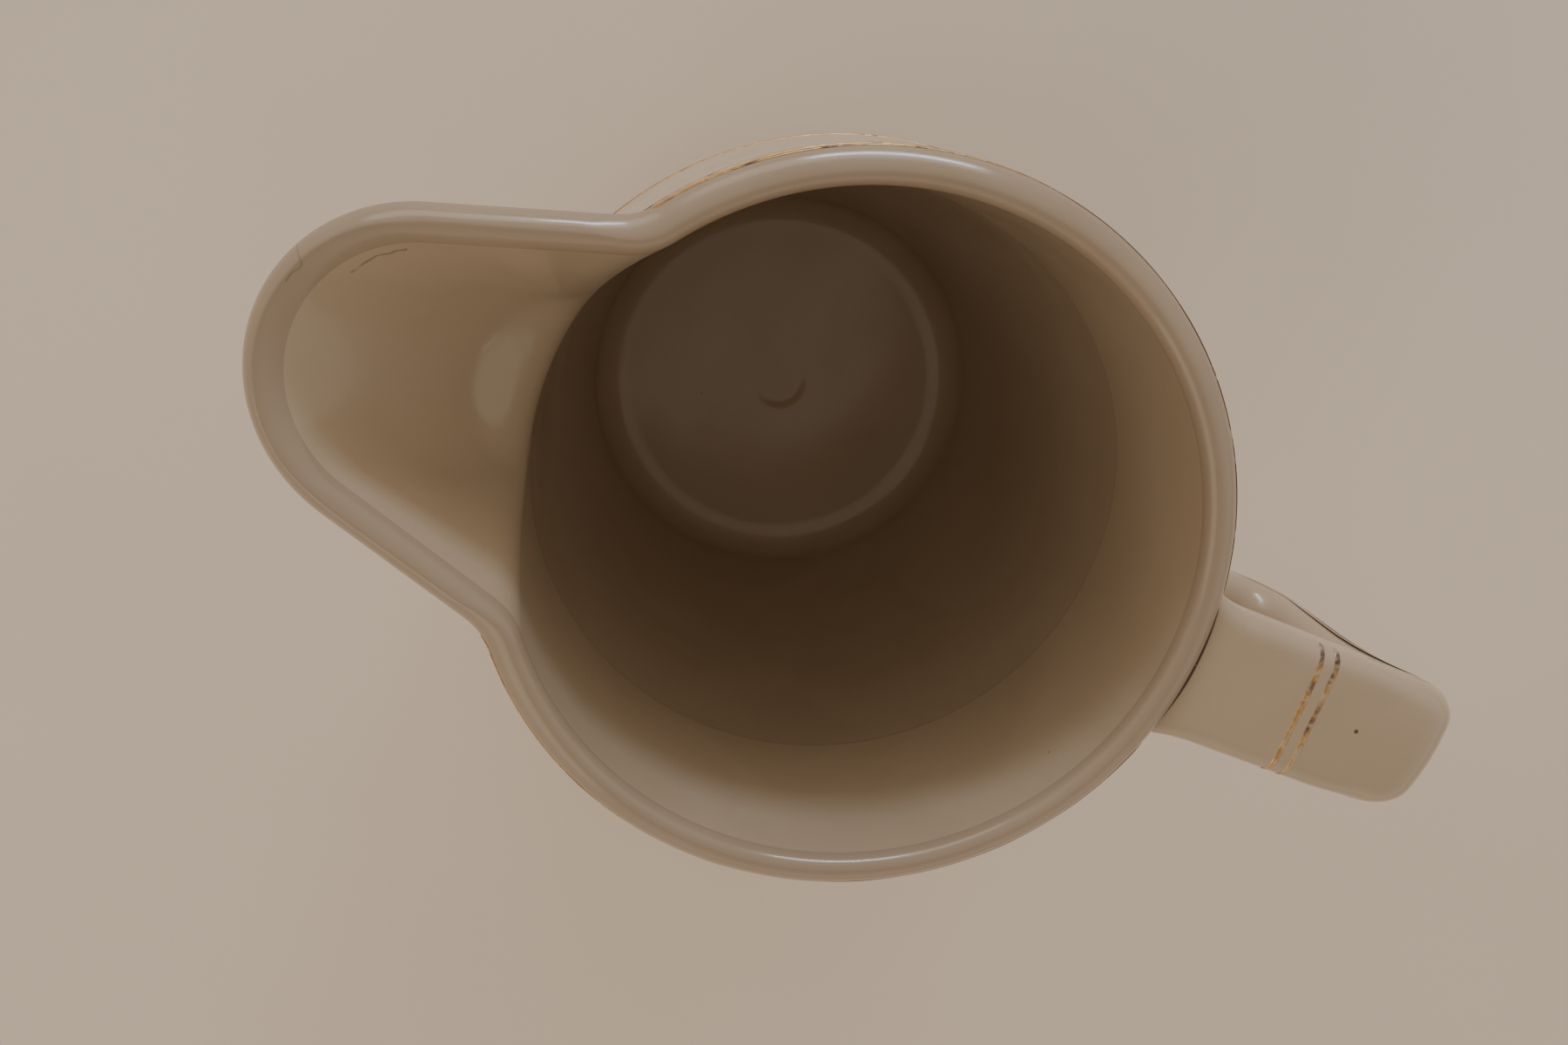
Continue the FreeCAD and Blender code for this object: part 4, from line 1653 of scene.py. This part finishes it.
    def build(self, gilding: bpy.types.Material, handle_gilding: bpy.types.Material) -> None:
        """Makes and dresses the five lines.

        Args:
            gilding: The gold of the lines round the collar.
            handle_gilding: The gold of the lines across the handle.
        """
        back = math.pi
        for number, node in enumerate(("lip_line_first", "lip_line_second")):
            low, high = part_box(node)
            spout = self.spout_meets((low.z + high.z) / 2.0)
            joint = math.asin(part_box("upper_slip_joint")[1].y / high.y)
            stretches = [(spout, back - joint), (back + joint, 2.0 * back - spout)]
            skin = self.round_collar(node, stretches, 1.7 + number, self.lip_raise * (1 - number))
            if number == 0:
                stroke = self.over_joint(self.vessel.lip_radius + self.joint_gap, self.joint_width, 3.1)
                skin = joined([skin, stroke])
            make_piece(f"{node}_gold", skin, gilding, [node])
        low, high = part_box("crease_line")
        spout = self.spout_meets((low.z + high.z) / 2.0)
        skin = self.round_collar("crease_line", [(spout, 2.0 * back - spout)], 5.3)
        make_piece("crease_line_gold", skin, gilding, ["crease_line"])
        for number, node in enumerate(("handle_line_inner", "handle_line_outer")):
            skin = self.across_handle(node, 0.9 + 2.0 * number)
            make_piece(f"{node}_gold", skin, handle_gilding, [node])

    def spout_meets(self, height: float) -> float:
        """The angle at which a line ends beside the spout.

        Args:
            height: The line's height.

        Returns:
            The angle at which the spout stands out of the collar, and the gap before it.
        """
        angle = np.linspace(0.0, math.pi / 2.0, self.spout_readings)
        level = np.full_like(angle, height)
        beak = self.vessel.outer_beak.distance(angle, self.vessel.share(level))
        stands = beak > self.vessel.collar(level)
        gap = self.end_gap / self.vessel.lip_radius
        return float(angle[stands].max(initial=self.least_spout)) + gap


# ---------------------------------------------------------------------------------------------
# The studio
# ---------------------------------------------------------------------------------------------


@dataclass(frozen=True)
class SoftBox:
    """A soft studio light: where it stands, seen from the mouth, its size, colour and strength."""

    name: str
    azimuth: float
    elevation: float
    distance: float
    width: float
    height: float
    watts: float
    colour: Colour

    def build(self, target: Vector) -> None:
        """Makes the light and aims it.

        Args:
            target: The point that it is aimed at.
        """
        light = bpy.data.lights.new(self.name, "AREA")
        light.shape = "RECTANGLE"
        light.size, light.size_y = self.width, self.height
        light.energy = self.watts
        light.color = self.colour
        azimuth, elevation = math.radians(self.azimuth), math.radians(self.elevation)
        way = Vector((
            math.cos(elevation) * math.cos(azimuth),
            math.cos(elevation) * math.sin(azimuth),
            math.sin(elevation),
        ))
        lamp = bpy.data.objects.new(self.name, light)
        lamp.location = target + way * self.distance
        lamp.rotation_mode = "QUATERNION"
        lamp.rotation_quaternion = (-way).to_track_quat("-Z", "Y")
        bpy.context.scene.collection.objects.link(lamp)


@dataclass
class Studio:
    """The floor, the lights and the camera."""

    vessel: Vessel
    floor_size: float = 6.0
    floor_edges: int = 96
    lens: float = 28.0
    stand: tuple[float, float, float] = (48.4 * MM, -41.4 * MM, 162.4 * MM)
    aim: tuple[float, float] = (12.2 * MM, 0.6 * MM)
    upright: float = -66.9
    ambient: Colour = (1.0, 0.86, 0.71)
    ambient_strength: tuple[float, float, float, float] = (0.35, 0.90, 0.78, 0.48)
    lights: tuple[SoftBox, ...] = (
        SoftBox("key", -69.0, 12.0, 1.3, 1.4, 0.5, 4.0, (1.0, 0.88, 0.76)),
        SoftBox("window", -80.0, 9.0, 1.1, 0.6, 0.10, 4.0, (0.62, 0.78, 1.0)),
        SoftBox("fill", 60.0, 30.0, 1.6, 1.4, 1.0, 4.0, (1.0, 0.82, 0.64)),
    )

    def build(self) -> None:
        """Makes the floor, the lights and the camera."""
        self.lay_floor()
        centre = Vector((0.0, 0.0, self.vessel.lip_plane))
        for light in self.lights:
            light.build(centre)
        world = bpy.data.worlds.new("studio")
        bpy.context.scene.world = world
        world.use_nodes = True
        background = world.node_tree.nodes["Background"]
        background.inputs["Color"].default_value = (*self.ambient, 1.0)
        way = world.node_tree.nodes.new("ShaderNodeTexCoord").outputs["Generated"]
        split = world.node_tree.nodes.new("ShaderNodeSeparateXYZ")
        overhead = world.node_tree.nodes.new("ShaderNodeMapRange")
        overhead.interpolation_type = "SMOOTHSTEP"
        for name, value in zip(("From Min", "From Max", "To Min", "To Max"), self.ambient_strength):
            overhead.inputs[name].default_value = value
        world.node_tree.links.new(way, split.inputs[0])
        world.node_tree.links.new(split.outputs["Z"], overhead.inputs["Value"])
        world.node_tree.links.new(overhead.outputs["Result"], background.inputs["Strength"])
        self.set_camera(centre)

    def lay_floor(self) -> None:
        """A level floor under the foot, as a fine-edged round sheet."""
        angle = np.linspace(0.0, 2.0 * math.pi, self.floor_edges, endpoint=False)
        radius = self.floor_size / 2.0
        points = np.stack([radius * np.cos(angle), radius * np.sin(angle), np.zeros_like(angle)], axis=1)
        mesh = bpy.data.meshes.new("studio_floor")
        mesh.from_pydata(points.tolist(), [], [list(range(len(points)))])
        mesh.materials.append(PaleFloor().make())
        floor = bpy.data.objects.new("studio_floor", mesh)
        bpy.context.scene.collection.objects.link(floor)

    def set_camera(self, mouth: Vector) -> None:
        """Stands the camera over the mouth, beside the spout, and looks down into the pot.

        Args:
            mouth: The middle of the mouth, in the lip's plane.
        """
        data = bpy.data.cameras.new("view")
        data.lens = self.lens
        data.clip_start, data.clip_end = 0.01, 50.0
        camera = bpy.data.objects.new("view", data)
        bpy.context.scene.collection.objects.link(camera)
        place = mouth + Vector(self.stand)
        forward = (mouth + Vector((*self.aim, 0.0)) - place).normalized()
        azimuth = math.radians(self.upright)
        hint = Vector((math.cos(azimuth), math.sin(azimuth), 0.0))
        right = forward.cross(hint).normalized()
        up = right.cross(forward)
        rows = Matrix((right, up, -forward)).transposed().to_4x4()
        camera.matrix_world = Matrix.Translation(place) @ rows
        bpy.context.scene.camera = camera


def main() -> None:
    """Builds the pitcher and its studio."""
    logging.basicConfig(level=logging.INFO, format="%(name)s %(message)s")
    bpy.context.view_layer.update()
    vessel, handle = Vessel(), Handle()
    tip = vessel.reach - 0.5 * MM
    courses = (
        ((tip, -13.6 * MM), (82.4 * MM, -9.4 * MM), (83.6 * MM, -6.6 * MM)),
        ((77.4 * MM, -9.8 * MM), (75.0 * MM, -13.2 * MM), (71.9 * MM, -15.2 * MM)),
    )
    hairlines = tuple(Hairline(course, lowest=112.0 * MM) for course in courses)
    rim_spot = (-45.0 * MM, -21.6 * MM, vessel.top - 0.8 * MM, 0.5 * MM)
    handle_spot = (-85.0 * MM, -0.6 * MM, handle.top, 0.45 * MM)
    glaze = Glaze(spots=(handle_spot,)).make()
    cracked = Glaze(name="ivory glaze with hairlines", hairlines=hairlines).make()
    # The lip's glaze is a darker copy of the ivory glaze: partly its real thinner glaze, partly painted
    # shade.
    rubbed = Glaze(
        name="ivory glaze thin with painted shade",
        body=(0.36, 0.278, 0.20),
        mottle=(0.335, 0.257, 0.185),
        thin=(0.33, 0.255, 0.185),
        hairlines=hairlines,
        spots=(rim_spot,),
    ).make()
    vessel.build(glaze, cracked, rubbed, BareClay().make())
    handle.build(glaze)
    # The handle lines have a painted dark reflection along their -Y edge.
    handle_gilding = Gilding(
        name="worn gilding of the handle", wear=(0.36, 0.74), painted_reflection_side=("Y", -9.2 * MM, 1.6 * MM)
    )
    GiltLines(vessel, handle).build(Gilding().make(), handle_gilding.make())
    Studio(vessel).build()


if __name__ == "__main__":
    main()
